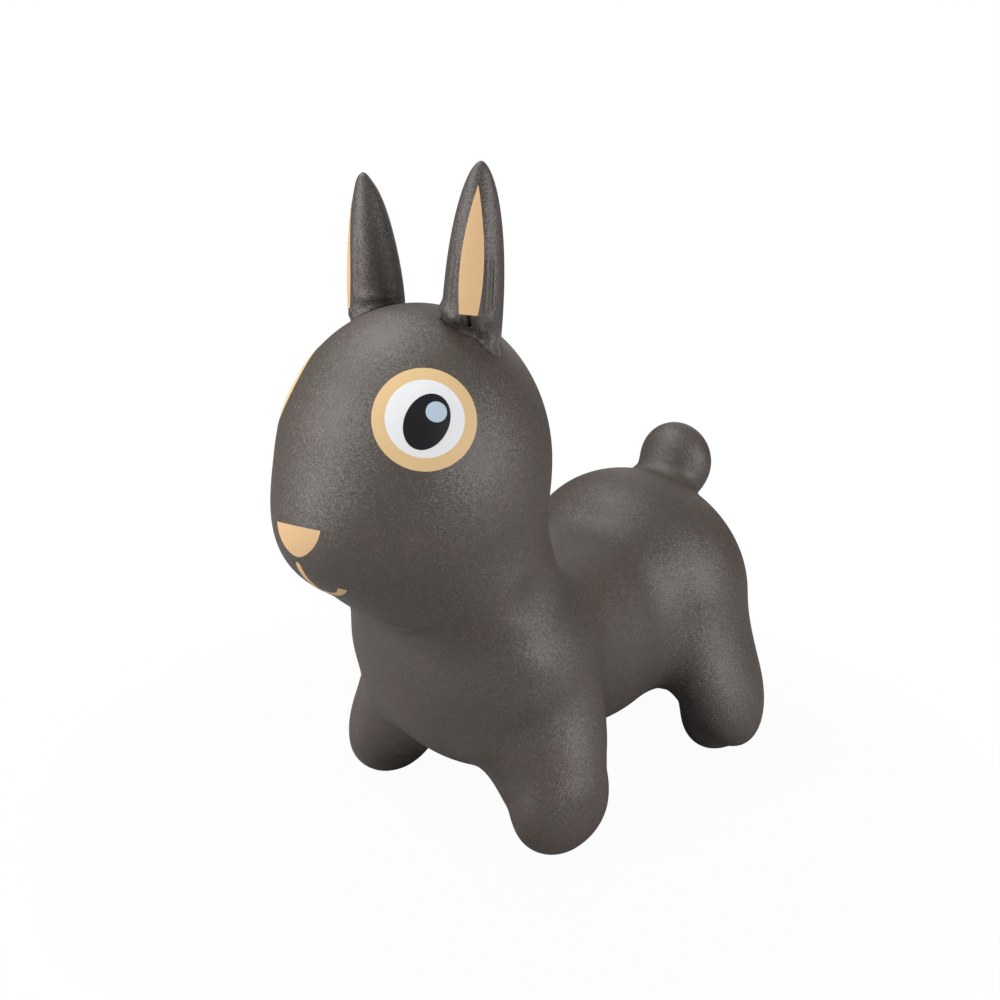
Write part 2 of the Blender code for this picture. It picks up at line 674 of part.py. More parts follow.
def add_eye(surface, layer, name, side, looks):
    """Side by side from the middle: glint, pupil, white and ring. The right eye mirrors the left one's shapes."""
    frame = eye_frame(surface, name, side)
    pupil_middle = Vector((side * PUPIL_SHIFT, -PUPIL_DROP))
    tilt = side * PUPIL_TILT
    glint_offset = Vector(
        (
            side * (PUPIL_WIDTH / 2 - GLINT_RADIUS - GLINT_SIDE_RIM),
            PUPIL_LENGTH / 2 - GLINT_RADIUS - GLINT_TOP_RIM,
        )
    )
    glint_offset.rotate(Matrix.Rotation(-tilt, 2))
    glint_middle = pupil_middle + glint_offset
    white_radius = PUPIL_LENGTH / 2 + WHITE_RIM
    ring_radius = white_radius + EYE_RING_WIDTH

    glint_edge = ellipse(glint_middle, GLINT_RADIUS, GLINT_RADIUS, tilt)
    glint_hole = ellipse(glint_middle, GLINT_RADIUS, GLINT_RADIUS, tilt, FILM_SEAM)
    pupil_edge = ellipse(pupil_middle, PUPIL_WIDTH / 2, PUPIL_LENGTH / 2, tilt)
    pupil_hole = ellipse(pupil_middle, PUPIL_WIDTH / 2, PUPIL_LENGTH / 2, tilt, FILM_SEAM)
    white_edge = ellipse((0, 0), white_radius, white_radius, tilt)
    white_hole = ellipse((0, 0), white_radius, white_radius, tilt, FILM_SEAM)
    ring_edge = ellipse((0, 0), ring_radius, ring_radius, tilt)

    sheets = {
        "glint": outline_sheet(glint_edge),
        "pupil": ring_sheet(glint_hole, pupil_edge),
        "white": ring_sheet(pupil_hole, white_edge),
        "ring": ring_sheet(white_hole, ring_edge),
    }
    for part, sheet in sheets.items():
        add_film(f"eye_{part}_{name}", sheet, layer, frame, looks[part])


def nose_frame(surface):
    """Middle of the nose's top edge, Z towards the front."""
    start = Vector((0, MUZZLE_Y, MUZZLE_Z - NOSE_DROP))
    turn = Matrix.Rotation(math.radians(90), 4, "X") @ Matrix.Rotation(NOSE_TILT, 4, "Z")
    return Matrix.Translation(first_hit(surface, start, Vector((0, -1, 0)))) @ turn


def nose_outline():
    """A shield with a straight top edge, full sides and a round tip, from the top edge's right end."""
    half = NOSE_WIDTH / 2
    start = NOSE_CORNER_RADIUS / NOSE_HEIGHT
    side = arc((half - NOSE_CORNER_RADIUS, -NOSE_CORNER_RADIUS), NOSE_CORNER_RADIUS, math.radians(90), 0, 3)
    steps = 10
    for step in range(1, steps):
        share = start + (1 - start) * math.sin(math.radians(90) * step / steps)
        side.append((half * (1 - share**NOSE_SIDE_CURVE) ** NOSE_TIP_ROUNDING, -NOSE_HEIGHT * share))
    left = [(-u, v) for u, v in reversed(side)]
    return [*side, (0, -NOSE_HEIGHT), *left]


def add_nose(surface, layer, look):
    add_film("nose", outline_sheet(nose_outline()), layer, nose_frame(surface), look)


def nose_tip(surface):
    """The skin in the middle of the face, level with the nose's tip."""
    lowest = nose_frame(surface) @ Vector((0, -NOSE_HEIGHT, 0))
    return first_hit(surface, Vector((0, MUZZLE_Y, lowest.z)), Vector((0, -1, 0)))


def add_mouth(surface, layer, look):
    """An upright stroke under the nose that parts into two curls."""
    out = Vector((0, -math.cos(MOUTH_DIP), -math.sin(MOUTH_DIP)))
    up = Vector((0, -math.sin(MOUTH_DIP), math.cos(MOUTH_DIP)))
    parting = nose_tip(surface) - up * (NOSE_MOUTH_GAP + LIP_LENGTH)
    turn = Matrix((Vector((1, 0, 0)), up, out)).transposed()
    frame = Matrix.Translation(parting) @ turn.to_4x4()
    half = MOUTH_STROKE / 2
    end = SMILE_WIDTH / 2 - half
    bend = SMILE_RISE / ((end - SMILE_LOW) ** 2 - SMILE_LOW**2)

    def curl(x, offset):
        """A point beside the right-hand curl, offset to its upper side."""
        slope = 2 * bend * (x - SMILE_LOW)
        normal = Vector((-slope, 1)).normalized()
        return Vector((x, bend * ((x - SMILE_LOW) ** 2 - SMILE_LOW**2))) + normal * offset

    inner = half + half * abs(2 * bend * SMILE_LOW)
    steps = 7
    runs = [inner + (end - inner) * step / steps for step in range(steps + 1)]
    upper = [curl(x, half) for x in runs]
    lower = [curl(x, -half) for x in reversed(runs)]
    tip = curl(end, 0) + (upper[-1] - lower[0]).orthogonal().normalized() * -half
    lip_steps = 6
    lip = [Vector((half, LIP_LENGTH * (1 - step / lip_steps))) for step in range(lip_steps)]
    side = [*lip, *upper, tip, *lower, Vector((0, curl(0, -half).y))]
    left = [Vector((-point.x, point.y)) for point in reversed(side[:-1])]
    outline = [tuple(point) for point in reversed(side + left)]
    add_film("mouth", outline_sheet(outline), layer, frame, look)


# Valve


def valve_seat(surface):
    """The flat that the stopper's head rests on, sunk a little into the belly."""
    below = Vector((0, BELLY_Y + VALVE_SETBACK, -FAR))
    belly = surface.ray_cast(below, Vector((0, 0, 1)))[0]
    return Matrix.Translation(belly + Vector((0, 0, VALVE_SEAT_DEPTH)))


def valve_boss_top():
    return WALL - VALVE_SEAT_DEPTH + VALVE_BOSS_HEIGHT


def boss_mesh():
    radius = VALVE_BOSS / 2
    top = valve_boss_top()
    return turned_mesh("valve_boss", [(0, top), (radius, top), (radius, -2 * WALL), (0, -2 * WALL)])


def bore_mesh():
    """The stepped hole: bore through the boss, and a round seat for the stopper's head."""
    bore = VALVE_BORE / 2
    seat = PLUG_HEAD / 2 + PLUG_CLEARANCE
    top = valve_boss_top() + WALL
    low = -WALL - VALVE_SEAT_DEPTH
    return turned_mesh("valve_bore", [(0, top), (bore, top), (bore, 0), (seat, 0), (seat, low), (0, low)])


def plug_profile():
    """Tapered core with ribs that grip the bore, and a round-edged head. Heights are from the seat."""
    rib_radius = VALVE_BORE / 2 - PLUG_CLEARANCE
    core = PLUG_CORE / 2
    tip = PLUG_TIP / 2
    pitch = PLUG_LENGTH / (PLUG_RIBS + 1)
    points = [(0, PLUG_LENGTH), (tip, PLUG_LENGTH)]
    for rib in range(PLUG_RIBS):
        start = PLUG_LENGTH - pitch * (rib + RIB_START)
        points += [(tip + (core - tip) * (rib + RIB_START) / PLUG_RIBS, start)]
        points += [(rib_radius, start - pitch * RIB_SLOPE), (rib_radius, start - pitch * RIB_LAND)]
        points += [(tip + (core - tip) * (rib + 1) / PLUG_RIBS, start - pitch * RIB_STEP)]
    head = PLUG_HEAD / 2
    edge = PLUG_HEAD_THICKNESS * PLUG_EDGE
    top = -PLUG_CLEARANCE
    low = top - PLUG_HEAD_THICKNESS
    rim = arc((head - edge, low + edge), edge, 0, -math.radians(90), 4)
    return [*points, (core, top), (head, top), *rim, (0, low)]


def tab_mesh():
    """A half-round grip under the stopper's head, sunk into it."""
    outline = [(TAB_WIDTH / 2, 0)]
    steps = 10
    for step in range(steps + 1):
        angle = math.pi * step / steps
        outline.append((TAB_WIDTH / 2 * math.cos(angle), -TAB_HEIGHT * math.sin(angle)))
    form = bmesh.new()
    sunk = PLUG_HEAD_THICKNESS / 2
    start = -PLUG_CLEARANCE - PLUG_HEAD_THICKNESS
    half = TAB_THICKNESS / 2
    ring = [form.verts.new((-half, y, start + z)) for y, z in outline[1:]]
    ring += [form.verts.new((-half, y, start + sunk)) for y in (-TAB_WIDTH / 2, TAB_WIDTH / 2)]
    face = form.faces.new(ring)
    grown = bmesh.ops.extrude_face_region(form, geom=[face])
    moved = [item for item in grown["geom"] if isinstance(item, bmesh.types.BMVert)]
    bmesh.ops.translate(form, verts=moved, vec=(TAB_THICKNESS, 0, 0))
    return mesh_of(form, "plug_tab")


def add_plug(seat, look):
    plug = add_object("valve_plug", turned_mesh("valve_plug", plug_profile()), look, seat)
    cut(plug, add_cutter("plug_tab", tab_mesh(), seat), "UNION")


# Assembly


def add_skin(outside, ear_frame, seat, look):
    """The outside less the ear sockets, hollow and valve. The hollow leaves a wall round the sockets."""
    skin = add_object("body_skin", outside, look)
    hollow = add_cutter("skin_hollow", offset_mesh(outside, -WALL))
    radius = EAR_ROOT_RADIUS + EAR_CLEARANCE
    for name, side in SIDES.items():
        place = mirrored(ear_frame, side)
        cut(hollow, add_cutter(f"socket_wall_{name}", socket_mesh("socket_wall", radius + WALL), place))
        cut(skin, add_cutter(f"ear_socket_{name}", socket_mesh("ear_socket", radius), place))
    cut(hollow, add_cutter("valve_boss", boss_mesh(), seat))
    cut(skin, hollow)
    cut(skin, add_cutter("valve_bore", bore_mesh(), seat))
    even_shading(skin)


def main():
    clear_scene()
    skin_look = material("dark_glitter_vinyl", linear(92, 87, 84), 0.42)
    ear_look = material("dark_ear_vinyl", linear(88, 84, 81), 0.45)
    tan = linear(223, 185, 140)
    lining_look = material("tan_lining_film", tan, 0.5)
    nose_look = material("tan_nose_film", tan, 0.5)
    mouth_look = material("tan_mouth_film", tan, 0.5)
    plug_look = material("white_valve_plastic", linear(225, 225, 222), 0.4)
    eye_looks = {
        "ring": material("tan_eye_film", linear(220, 188, 140), 0.5),
        "white": material("white_eye_film", linear(229, 230, 232), 0.5),
        "pupil": material("black_eye_film", linear(34, 34, 36), 0.4),
        "glint": material("pale_eye_film", linear(179, 196, 212), 0.5),
    }
    swollen = swollen_mesh()
    outside = press_soles(evened(simplified(swollen, SKIN_FACETS), swollen))
    surface = surface_of(outside)
    ear_frame = ear_matrix(surface)
    seat = valve_seat(surface)
    add_skin(outside, ear_frame, seat, skin_look)
    add_ears(ear_frame, ear_look, lining_look)
    layer = film_layer("skin", outside)
    for name, side in SIDES.items():
        add_eye(surface, layer, name, side, eye_looks)
    add_nose(surface, layer, nose_look)
    add_mouth(surface, layer, mouth_look)
    add_plug(seat, plug_look)


main()
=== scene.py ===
"""Inflatable rabbit hopper: fine skin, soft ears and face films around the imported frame, in a white studio.

Metres and +Z up. The rabbit faces -Y and its left side is +X, as in the frame.
"""

import json
import math

import bmesh
import bpy
import numpy as np
from mathutils import Matrix, Vector, noise
from mathutils.bvhtree import BVHTree


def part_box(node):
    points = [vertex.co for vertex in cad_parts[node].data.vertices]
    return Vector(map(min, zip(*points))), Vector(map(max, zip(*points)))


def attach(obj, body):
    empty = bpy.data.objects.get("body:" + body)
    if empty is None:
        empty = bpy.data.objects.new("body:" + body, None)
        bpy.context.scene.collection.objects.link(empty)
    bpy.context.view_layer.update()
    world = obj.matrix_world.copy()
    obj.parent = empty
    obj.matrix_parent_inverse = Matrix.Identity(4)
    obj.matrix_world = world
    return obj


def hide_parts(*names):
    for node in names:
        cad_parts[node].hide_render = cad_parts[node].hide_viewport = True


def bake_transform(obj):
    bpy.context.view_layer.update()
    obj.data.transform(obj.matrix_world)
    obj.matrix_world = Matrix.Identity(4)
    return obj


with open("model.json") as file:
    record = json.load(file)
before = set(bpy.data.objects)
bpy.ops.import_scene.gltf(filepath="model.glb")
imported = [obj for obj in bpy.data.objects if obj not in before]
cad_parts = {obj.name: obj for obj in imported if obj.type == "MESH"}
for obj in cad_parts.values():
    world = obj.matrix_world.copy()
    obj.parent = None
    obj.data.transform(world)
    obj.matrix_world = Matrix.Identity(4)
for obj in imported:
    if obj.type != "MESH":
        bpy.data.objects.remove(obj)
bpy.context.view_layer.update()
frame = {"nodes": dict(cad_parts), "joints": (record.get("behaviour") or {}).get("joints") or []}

# Overall sizes, which the lumps of the skin are shares of
WIDTH = 0.29
LENGTH = 0.512
HEIGHT = 0.556

# Skin: where the field of all the lumps together has this value. A firm lump keeps its own shape.
SKIN_LEVEL = 0.2
HEAD_FIRMNESS = 6.0
TRUNK_FIRMNESS = 3.0
LEG_FIRMNESS = 1.2
NECK_FIRMNESS = 0.8
FLANK_FIRMNESS = 0.6
HAUNCH_FIRMNESS = 0.5
TAIL_FIRMNESS = 8.0
TAIL_NECK_FIRMNESS = 1.0
SOLE_TRIM = 0.003  # how much of each round foot is pressed flat on the floor
SOLE_SHARE = SOLE_TRIM / HEIGHT
FOREFOOT_HEIGHT = 0.14  # as a share of the overall height
HINDFOOT_HEIGHT = 0.169
COARSE_GRID = 0.006
FINE_GRID = 0.003
SETTLING_TURNS = 5

# name: middle (x, y, z) and size (width, length, height) as shares of the overall sizes, firmness, and pitch
# and roll in degrees
LUMPS = {
    "cranium": ((0, -0.265, 0.585), (0.736, 0.425, 0.448), HEAD_FIRMNESS, -7, 0),
    "muzzle": ((0, -0.309, 0.576), (0.55, 0.415, 0.237), HEAD_FIRMNESS, 31, 0),
    "chest": ((0, -0.141, 0.274), (0.795, 0.323, 0.394), TRUNK_FIRMNESS, 16.5, 0),
    "belly": ((0, 0.117, 0.231), (0.63, 0.471, 0.319), TRUNK_FIRMNESS, 0, 0),
    "rump": ((0, 0.312, 0.273), (0.812, 0.373, 0.405), TRUNK_FIRMNESS, 17, 0),
    "tail": ((0, 0.436, 0.468), (0.259, 0.114, 0.138), TAIL_FIRMNESS, 0, 0),
    "tail_neck": ((0, 0.398, 0.434), (0.21, 0.072, 0.092), TAIL_NECK_FIRMNESS, 0, 0),
}
# The same on the left side; the right side mirrors them
PAIRED_LUMPS = {
    "foreleg": ((0.283, -0.115, 0.148), (0.331, 0.186, 0.254), LEG_FIRMNESS, -24.5, -17.5),
    "forefoot": (
        (0.351, -0.124, FOREFOOT_HEIGHT / 2 - SOLE_SHARE), (0.207, 0.188, FOREFOOT_HEIGHT),
        TRUNK_FIRMNESS, 0, 0,
    ),
    "hindleg": ((0.329, 0.315, 0.168), (0.255, 0.203, 0.307), LEG_FIRMNESS, 7.5, -25.5),
    "hindfoot": (
        (0.326, 0.362, HINDFOOT_HEIGHT / 2 - SOLE_SHARE), (0.214, 0.202, HINDFOOT_HEIGHT),
        TRUNK_FIRMNESS, 0, 0,
    ),
    "neck": ((0.175, -0.214, 0.426), (0.335, 0.215, 0.185), NECK_FIRMNESS, 0, 0),
    "flank": ((0.13, 0.045, 0.298), (0.325, 0.38, 0.185), FLANK_FIRMNESS, 0, 0),
    "haunch": ((0.214, 0.398, 0.135), (0.248, 0.16, 0.156), HAUNCH_FIRMNESS, 0, 0),
}
# Fields on both sides, too weak to make a skin of their own, which swell the hollows between the lumps or, if
# negative, deepen them: middle and reach as shares of the overall sizes, strength
FILLETS = {
    "throat": ((0.103, -0.3125, 0.369), (0.483, 0.195, 0.18), 0.06),
    "shoulder": ((0.331, -0.027, 0.315), (0.552, 0.273, 0.342), 0.1),
    "armpit": ((0.231, -0.219, 0.158), (0.345, 0.195, 0.198), 0.15),
    "ankle": ((0.345, -0.125, 0.104), (0.621, 0.352, 0.108), 0.1),
    "nape": ((0.172, -0.088, 0.477), (0.552, 0.234, 0.288), 0.15),
    "crotch": ((0.24, -0.23, 0.115), (0.35, 0.3, 0.14), -0.05),
    "heel": ((0.395, 0.355, 0.05), (0.2, 0.2, 0.14), 0.08),
    "groin": ((0.155, 0.29, 0.09), (0.4, 0.3, 0.16), -0.05),
    "collar": ((0.316, -0.198, 0.321), (0.25, 0.142, 0.105), 0.059),
    "neck_crease": ((0.348, -0.195, 0.414), (0.31, 0.175, 0.113), -0.112),
}
HEAD = ("cranium", "muzzle")

# Marks that the mould and the air pressure leave in the skin
NECK_FOLD_DEPTH = 0.0007
NECK_FOLD_SPREAD = 0.3
NECK_FOLDS = 26
NECK_FOLD_PATTERN = 3.7  # where the folds are read in the noise
CHIN_FOLD = 0.0014  # the raised folds under the chin and on the nape
CHIN_FOLD_PLACE = -0.12  # between the crease, 0, and the trunk, -1
CHIN_FOLD_SPREAD = 0.16
CHIN_FOLD_ANGLE = 0.55
UNEVENNESS = 0.0003
UNEVENNESS_PITCH = 0.07
SOLE_RIM = 0.0009
SOLE_RIM_HEIGHT = 0.004

# Ears: a horn on a round root
EAR_LENGTHS = {"left": 0.207 * HEIGHT, "right": 0.184 * HEIGHT}
EAR_RADIUS = 0.0225
EAR_SKIRT = 0.024  # how far the ear's foot reaches into the head
EAR_TIP_SETBACK = 0.01
EAR_FRONT_CURVE = 2.7
EAR_WIDTH_CURVE = 2.15
EAR_DEPTH_CURVE = 1.65
EAR_TIP_ROUNDING = 0.56
EAR_SEGMENTS = 168
EAR_ROWS = 110
SKIRT_ROWS = 34
EAR_DOME_START = 0.92  # share of the length from which the tip is rounded
EAR_DOME_SETBACK = 0.3
FURROW_DEPTH = 0.0014
FURROW_PLACE = 0.67  # as a share of the ear's half width
FURROW_SPREAD = 0.045
FURROW_BOTTOM = 0.014
FURROW_BOTTOM_FADE = 0.008
FURROW_TOP = 0.06
FURROW_TOP_FADE = 0.02
RIDGE_HEIGHT = 0.0011  # the raised edge between lining and furrow
RIDGE_PLACE = 0.54
RIDGE_SPREAD = 0.07
INNER_SHARE = 0.4  # how strong furrow and ridge are on the ear's inner side
MARKS_FADE = 0.5  # the front's marks fade out where the ear faces forward by less than this
TUCK_DEPTHS = {"left": 0.015, "right": 0.003}  # how far the ear's front is drawn in under the lining
TUCK_HEIGHT = 0.0155
TUCK_OUTER_SHARE = 0.4
TUCK_OUTER_START = 0.2  # as a share of the ear's half width
TUCK_OUTER_END = 0.8
SLOT_DEPTH = 0.006  # the dark fold in the middle of the tuck
SLOT_HALF_WIDTH = 0.0013
SLOT_HEIGHT = 0.0092
SLOT_TOP_START = 0.0003  # below the lining
SLOT_TOP_END = 0.0018
SLOT_BOTTOM_FADE = 0.002
LOBE_PUFF = 0.006  # the soft folds left and right of the slot
LOBE_SPREAD = 0.0055
LOBE_NARROW_SPREAD = 0.8 * LOBE_SPREAD
INNER_LOBE_PLACE = -0.5 * EAR_RADIUS
INNER_LOBE_FALL = 0.0055  # below the lining
OUTER_LOBE_PLACE = 0.35 * EAR_RADIUS
OUTER_LOBE_FALL = 0.0105
OUTER_LOBE_START = 0.002  # beside the slot
OUTER_LOBE_END = 0.004
CRUMPLE = 0.0011  # the fine wrinkles in the folds
CRUMPLE_PITCH = 0.0042
CRUMPLE_FADE = 0.003
FOOT_BULGE = 0.0024  # on the ear's inner side
FOOT_BULGE_HEIGHT = 0.009
FOOT_BULGE_START = 0.3  # the bulge starts where the ear faces inward by this much
FOOT_WELT = 0.0013  # the soft edge where the ear meets the head
FOOT_WELT_HEIGHT = 0.0022
FOOT_WELT_TOP = 4 * FOOT_WELT_HEIGHT

# Ear lining
LINING_STARTS = {"left": 0.0085, "right": -0.0005}
LINING_SHARE = 0.787
LINING_WIDTH = 0.0173
LINING_SWELL = math.radians(130)
LINING_POINT = 0.9
LINING_ROWS = 60
LINING_COLUMNS = 16
LINING_CROWDING = 1.3  # how much closer its rows get towards the point
MERGE_DISTANCE = 1e-6

# Films of colour on the skin
FILM_LIFT = 0.0003
FILM_STEP = 0.00016  # between films that lie on each other
FILM_THICKNESS = 0.0006
FILM_SEGMENTS = 96
FILM_RINGS = 14
FILM_REACH = 0.03

# Eye
GLINT_RADIUS = 0.0075
GLINT_TOP_RIM = 0.0045
GLINT_SIDE_RIM = 0.005
PUPIL_LENGTH = 0.042
PUPIL_WIDTH = 0.031
PUPIL_TILT = math.radians(28)
PUPIL_DROP = 0.0025
PUPIL_SHIFT = 0.001
WHITE_RADIUS = PUPIL_LENGTH / 2 + 0.0071
RING_RADIUS = WHITE_RADIUS + 0.0091
RING_INSIDE = 0.97  # the ring starts just under the white, at this share of its radius
EYE_TURNS = {"left": math.radians(51.1), "right": math.radians(55)}
EYE_RISE = math.radians(32)

# Nose and mouth
NOSE_WIDTH = 0.048
NOSE_HEIGHT = 0.0224
NOSE_BOW = 0.0012
NOSE_SIDE_CURVE = 1.7
NOSE_TIP_ROUNDING = 0.6
NOSE_TILT = math.radians(4.5)
NOSE_DROP = 0.0195
NOSE_MIDDLE = 0.4  # share of its height at which the rings of its film start
NOSE_POINTS = FILM_SEGMENTS // 3  # on each of its three edges
NOSE_MOUTH_GAP = 0.0048
STROKE = 0.0054
LIP_LENGTH = 0.0345
LIP_ROWS = 30
LIP_ROUND_END = 0.08  # share of the lip's length over which its upper end is rounded
LIP_NARROWING = 0.9  # squared share of its width that the lip loses there
SMILE_REACH = 0.0262
SMILE_LOW = 0.009
SMILE_RISE = 0.0075
CURL_ROWS = 40
CURL_CROWDING = 0.9  # how its rows are spread along a curl
CURL_WIDTH = 0.88  # as a share of the stroke, where a curl starts
CURL_GROWTH = 0.24
CURL_GROWTH_START = 0.35
CURL_GROWTH_END = 0.9
CURL_ROUND_START = 0.86  # share of a curl from which its end is rounded
CURL_END_KEEPS = 0.02  # squared share of its width that a curl keeps at its end
MOUTH_DIP = math.radians(34)

# Valve under the belly
VALVE_BORE = 0.011
VALVE_SEAT = 0.0226
VALVE_DEPTH = 0.015
VALVE_SEGMENTS = 48

# Colours as on a screen, 0 to 255
SKIN_COLOUR = (73, 65, 59)
EAR_COLOUR = (71, 64, 59)
TAN = (223, 185, 140)
RING_TAN = (220, 188, 140)
EYE_WHITE = (229, 230, 232)
PUPIL_BLACK = (34, 34, 36)
GLINT_BLUE = (179, 196, 212)
STOPPER_WHITE = (225, 225, 222)

# Vinyl
NOISE_DETAIL = 2.0
PATCH_SCALE = 13.0
PATCH_GAIN = 1.2
CLOUD_SCALE = 60.0
CLOUD_GAIN = 0.6
TINT_SHIFT = 0.4
REDDISH = (1.13, 0.96, 0.97)  # what each tint does to the colour
GREENISH = (0.9, 1.02, 0.97)
SMEAR_SCALE = 60.0
SMEAR_DETAIL = 4.0
SMEAR_ROUGHNESS = 0.1
FLAKE_SCALE = 1350.0  # flakes per metre
FLAKE_MIDDLE = (0.5, 0.5, 0.5)  # the random colour of a flake that doesn't lean
FLAKE_LEAN = 0.4
FLAKE_SHARE = 0.1  # of the flakes are bright
FLAKE_GAIN = 0.075
FLAKE_COLOUR = (0.6, 0.57, 0.55)
VINYL_ROUGHNESS = 0.53
VINYL_GLOSS = 0.75

# Paint and print
SPECK_SCALE = 700.0
SPECK_BUMP = 0.15
SPECK_HEIGHT = 0.0003
SPECK_SHARE = 0.5  # the rest of the grain is in broad clouds
PAINT_CLOUD_SCALE = 45.0
PAINT_ROUGHNESS = 0.55
PAINT_GRAIN = 0.04
PAINT_GLOSS = 0.2

# Sockets of Blender's colour mixing node
MIX_SHARE = 0
MIX_FIRST = 6
MIX_SECOND = 7
MIX_RESULT = 2

# Camera and studio
CAMERA_PLACE = Vector((0.69675, -0.8038, 0.58888))
CAMERA_HEADING = math.radians(42.193)
CAMERA_RISE = math.radians(16.875)
CAMERA_ROLL = math.radians(0.89)
CAMERA_LENS = 46.03  # millimetres, as is the sensor
CAMERA_SENSOR = 36
FLOOR_SIZE = 8.0
FLOOR_COLOUR = (0.4, 0.4, 0.4)
FLOOR_GLOW = 0.965  # share of its look that is plain white near the toy, where its shadow falls
SHADOW_START = 0.3
SHADOW_END = 0.55
ROOM_LIGHT = 0.02
LIGHT_TARGET = Vector((0, -0.02, 0.25))
LIGHT_DISTANCE = 2.0
# heading and rise in degrees, width in metres, power in watts
SOFTBOXES = {
    "left": (-24, 22, 1.2, 35),
    "right": (97, 14, 1.3, 35),
    "top": (-75, 66, 1.2, 28),
    "back": (-155, 25, 1.4, 6),
}

SIDES = {"left": 1, "right": -1}
SHARP_ANGLE = math.radians(50)  # edges sharper than this aren't smoothed
TINY = 1e-9  # keeps a division from failing


def linear(srgb):
    """A screen colour, 0 to 255, as the linear colour that a shader takes."""
    shares = [value / 255 for value in srgb]
    return tuple(s / 12.92 if s <= 0.04045 else ((s + 0.055) / 1.055) ** 2.4 for s in shares)


# Meshes


def add_piece(name, mesh, look):
    """A smooth-shaded object with this material."""
    piece = bpy.data.objects.new(name, mesh)
    bpy.context.scene.collection.objects.link(piece)
    mesh.materials.clear()
    mesh.materials.append(look)
    mesh.shade_smooth()
    return piece


def mesh_from(name, points, faces):
    mesh = bpy.data.meshes.new(name)
    mesh.from_pydata([tuple(point) for point in points], [], [tuple(face) for face in faces])
    mesh.validate()
    return mesh


def points_of(mesh):
    points = np.empty(3 * len(mesh.vertices))
    mesh.vertices.foreach_get("co", points)
    return points.reshape(-1, 3)


def set_points(mesh, points):
    mesh.vertices.foreach_set("co", points.ravel())
    mesh.update()


def applied(piece):
    """Replaces a piece's mesh by what its modifiers make of it."""
    bpy.context.view_layer.update()
    made = bpy.data.meshes.new_from_object(piece.evaluated_get(bpy.context.evaluated_depsgraph_get()))
    piece.modifiers.clear()
    piece.data = made


def bump(values, middle, spread):
    """A soft hill of height 1."""
    return np.exp(-(((values - middle) / spread) ** 2))


def ramp(values, start, end):
    """0 before the start, 1 after the end, smooth in between."""
    share = np.clip((values - start) / (end - start), 0, 1)
    return share * share * (3 - 2 * share)


# Skin field


def lump_terms():
    """(name, middle, matrix into its own unit ball, firmness) of each lump and fillet."""
    scale = np.array((WIDTH, LENGTH, HEIGHT))
    rows = [(name, 1, lump) for name, lump in LUMPS.items()]
    rows += [(name, side, lump) for name, lump in PAIRED_LUMPS.items() for side in SIDES.values()]
    terms = []
    for name, side, (middle, size, firmness, pitch, roll) in rows:
        reach = math.sqrt(1 - (SKIN_LEVEL / firmness) ** (1 / 3))
        half = np.array(size) * scale / 2 / reach
        turn = Matrix.Rotation(math.radians(side * roll), 3, "Y")
        turn = turn @ Matrix.Rotation(math.radians(pitch), 3, "X")
        into = np.array(turn.transposed()) / half[:, None]
        terms.append((name, np.array(middle) * scale * (side, 1, 1), into, firmness))
    for name, (middle, reach, strength) in FILLETS.items():
        into = np.diag(2 / (np.array(reach) * scale))
        terms += [(name, np.array(middle) * scale * (side, 1, 1), into, strength) for side in SIDES.values()]
    return terms


TERMS = lump_terms()


def field(points, names=None):
    """The field's value and its slope at each point, from all lumps or only the named ones."""
    value = np.zeros(len(points))
    slope = np.zeros((len(points), 3))
    for name, middle, into, firmness in TERMS:
        if names and name not in names:
            continue
        local = (points - middle) @ into.T
        room = np.maximum(1 - (local**2).sum(1), 0)
        value += firmness * room**3
        slope -= (6 * firmness * room**2)[:, None] * (local @ into)
    return value, slope


def outward(points):
    """Unit directions out of the skin."""
    slope = field(points)[1]
    return -slope / np.maximum(np.linalg.norm(slope, axis=1), TINY)[:, None]


def height_above_skin(points):
    """About how far each point near the skin is outside it."""
    value, slope = field(points)
    return (SKIN_LEVEL - value) / np.maximum(np.linalg.norm(slope, axis=1), TINY)


def lump_box(name):
    """(middle, size) of a lump on the left side or in the middle, in metres."""
    middle, size = (LUMPS | PAIRED_LUMPS)[name][:2]
    scale = (WIDTH, LENGTH, HEIGHT)
    return [Vector([value * unit for value, unit in zip(row, scale)]) for row in (middle, size)]


# Skin


def swollen_mesh():
    """An even mesh on the skin's field."""
    balls = bpy.data.metaballs.new("lumps")
    balls.threshold = SKIN_LEVEL
    balls.resolution = balls.render_resolution = COARSE_GRID
    for _, middle, into, firmness in TERMS:
        if firmness < 0:
            continue
        lump = balls.elements.new(type="ELLIPSOID")
        sizes = 1 / np.linalg.norm(into, axis=1)
        lump.co = middle
        lump.radius = 1
        lump.size_x, lump.size_y, lump.size_z = sizes
        lump.stiffness = firmness
        lump.rotation = Matrix(into * sizes[:, None]).transposed().to_quaternion()
    helper = bpy.data.objects.new("lumps", balls)
    bpy.context.scene.collection.objects.link(helper)
    bpy.context.view_layer.update()
    coarse = bpy.data.meshes.new_from_object(helper.evaluated_get(bpy.context.evaluated_depsgraph_get()))
    bpy.data.objects.remove(helper)
    helper = bpy.data.objects.new("skin_grid", coarse)
    bpy.context.scene.collection.objects.link(helper)
    even = helper.modifiers.new("even", "REMESH")
    even.mode = "VOXEL"
    even.voxel_size = FINE_GRID
    applied(helper)
    mesh = helper.data
    bpy.data.objects.remove(helper)
    return mesh


def settled(points):
    """The points moved onto the skin."""
    for _ in range(SETTLING_TURNS):
        value, slope = field(points)
        step = (SKIN_LEVEL - value) / np.maximum((slope**2).sum(1), TINY)
        move = slope * step[:, None]
        length = np.linalg.norm(move, axis=1)
        points = points + move * np.minimum(1, COARSE_GRID / np.maximum(length, TINY))[:, None]
    return points


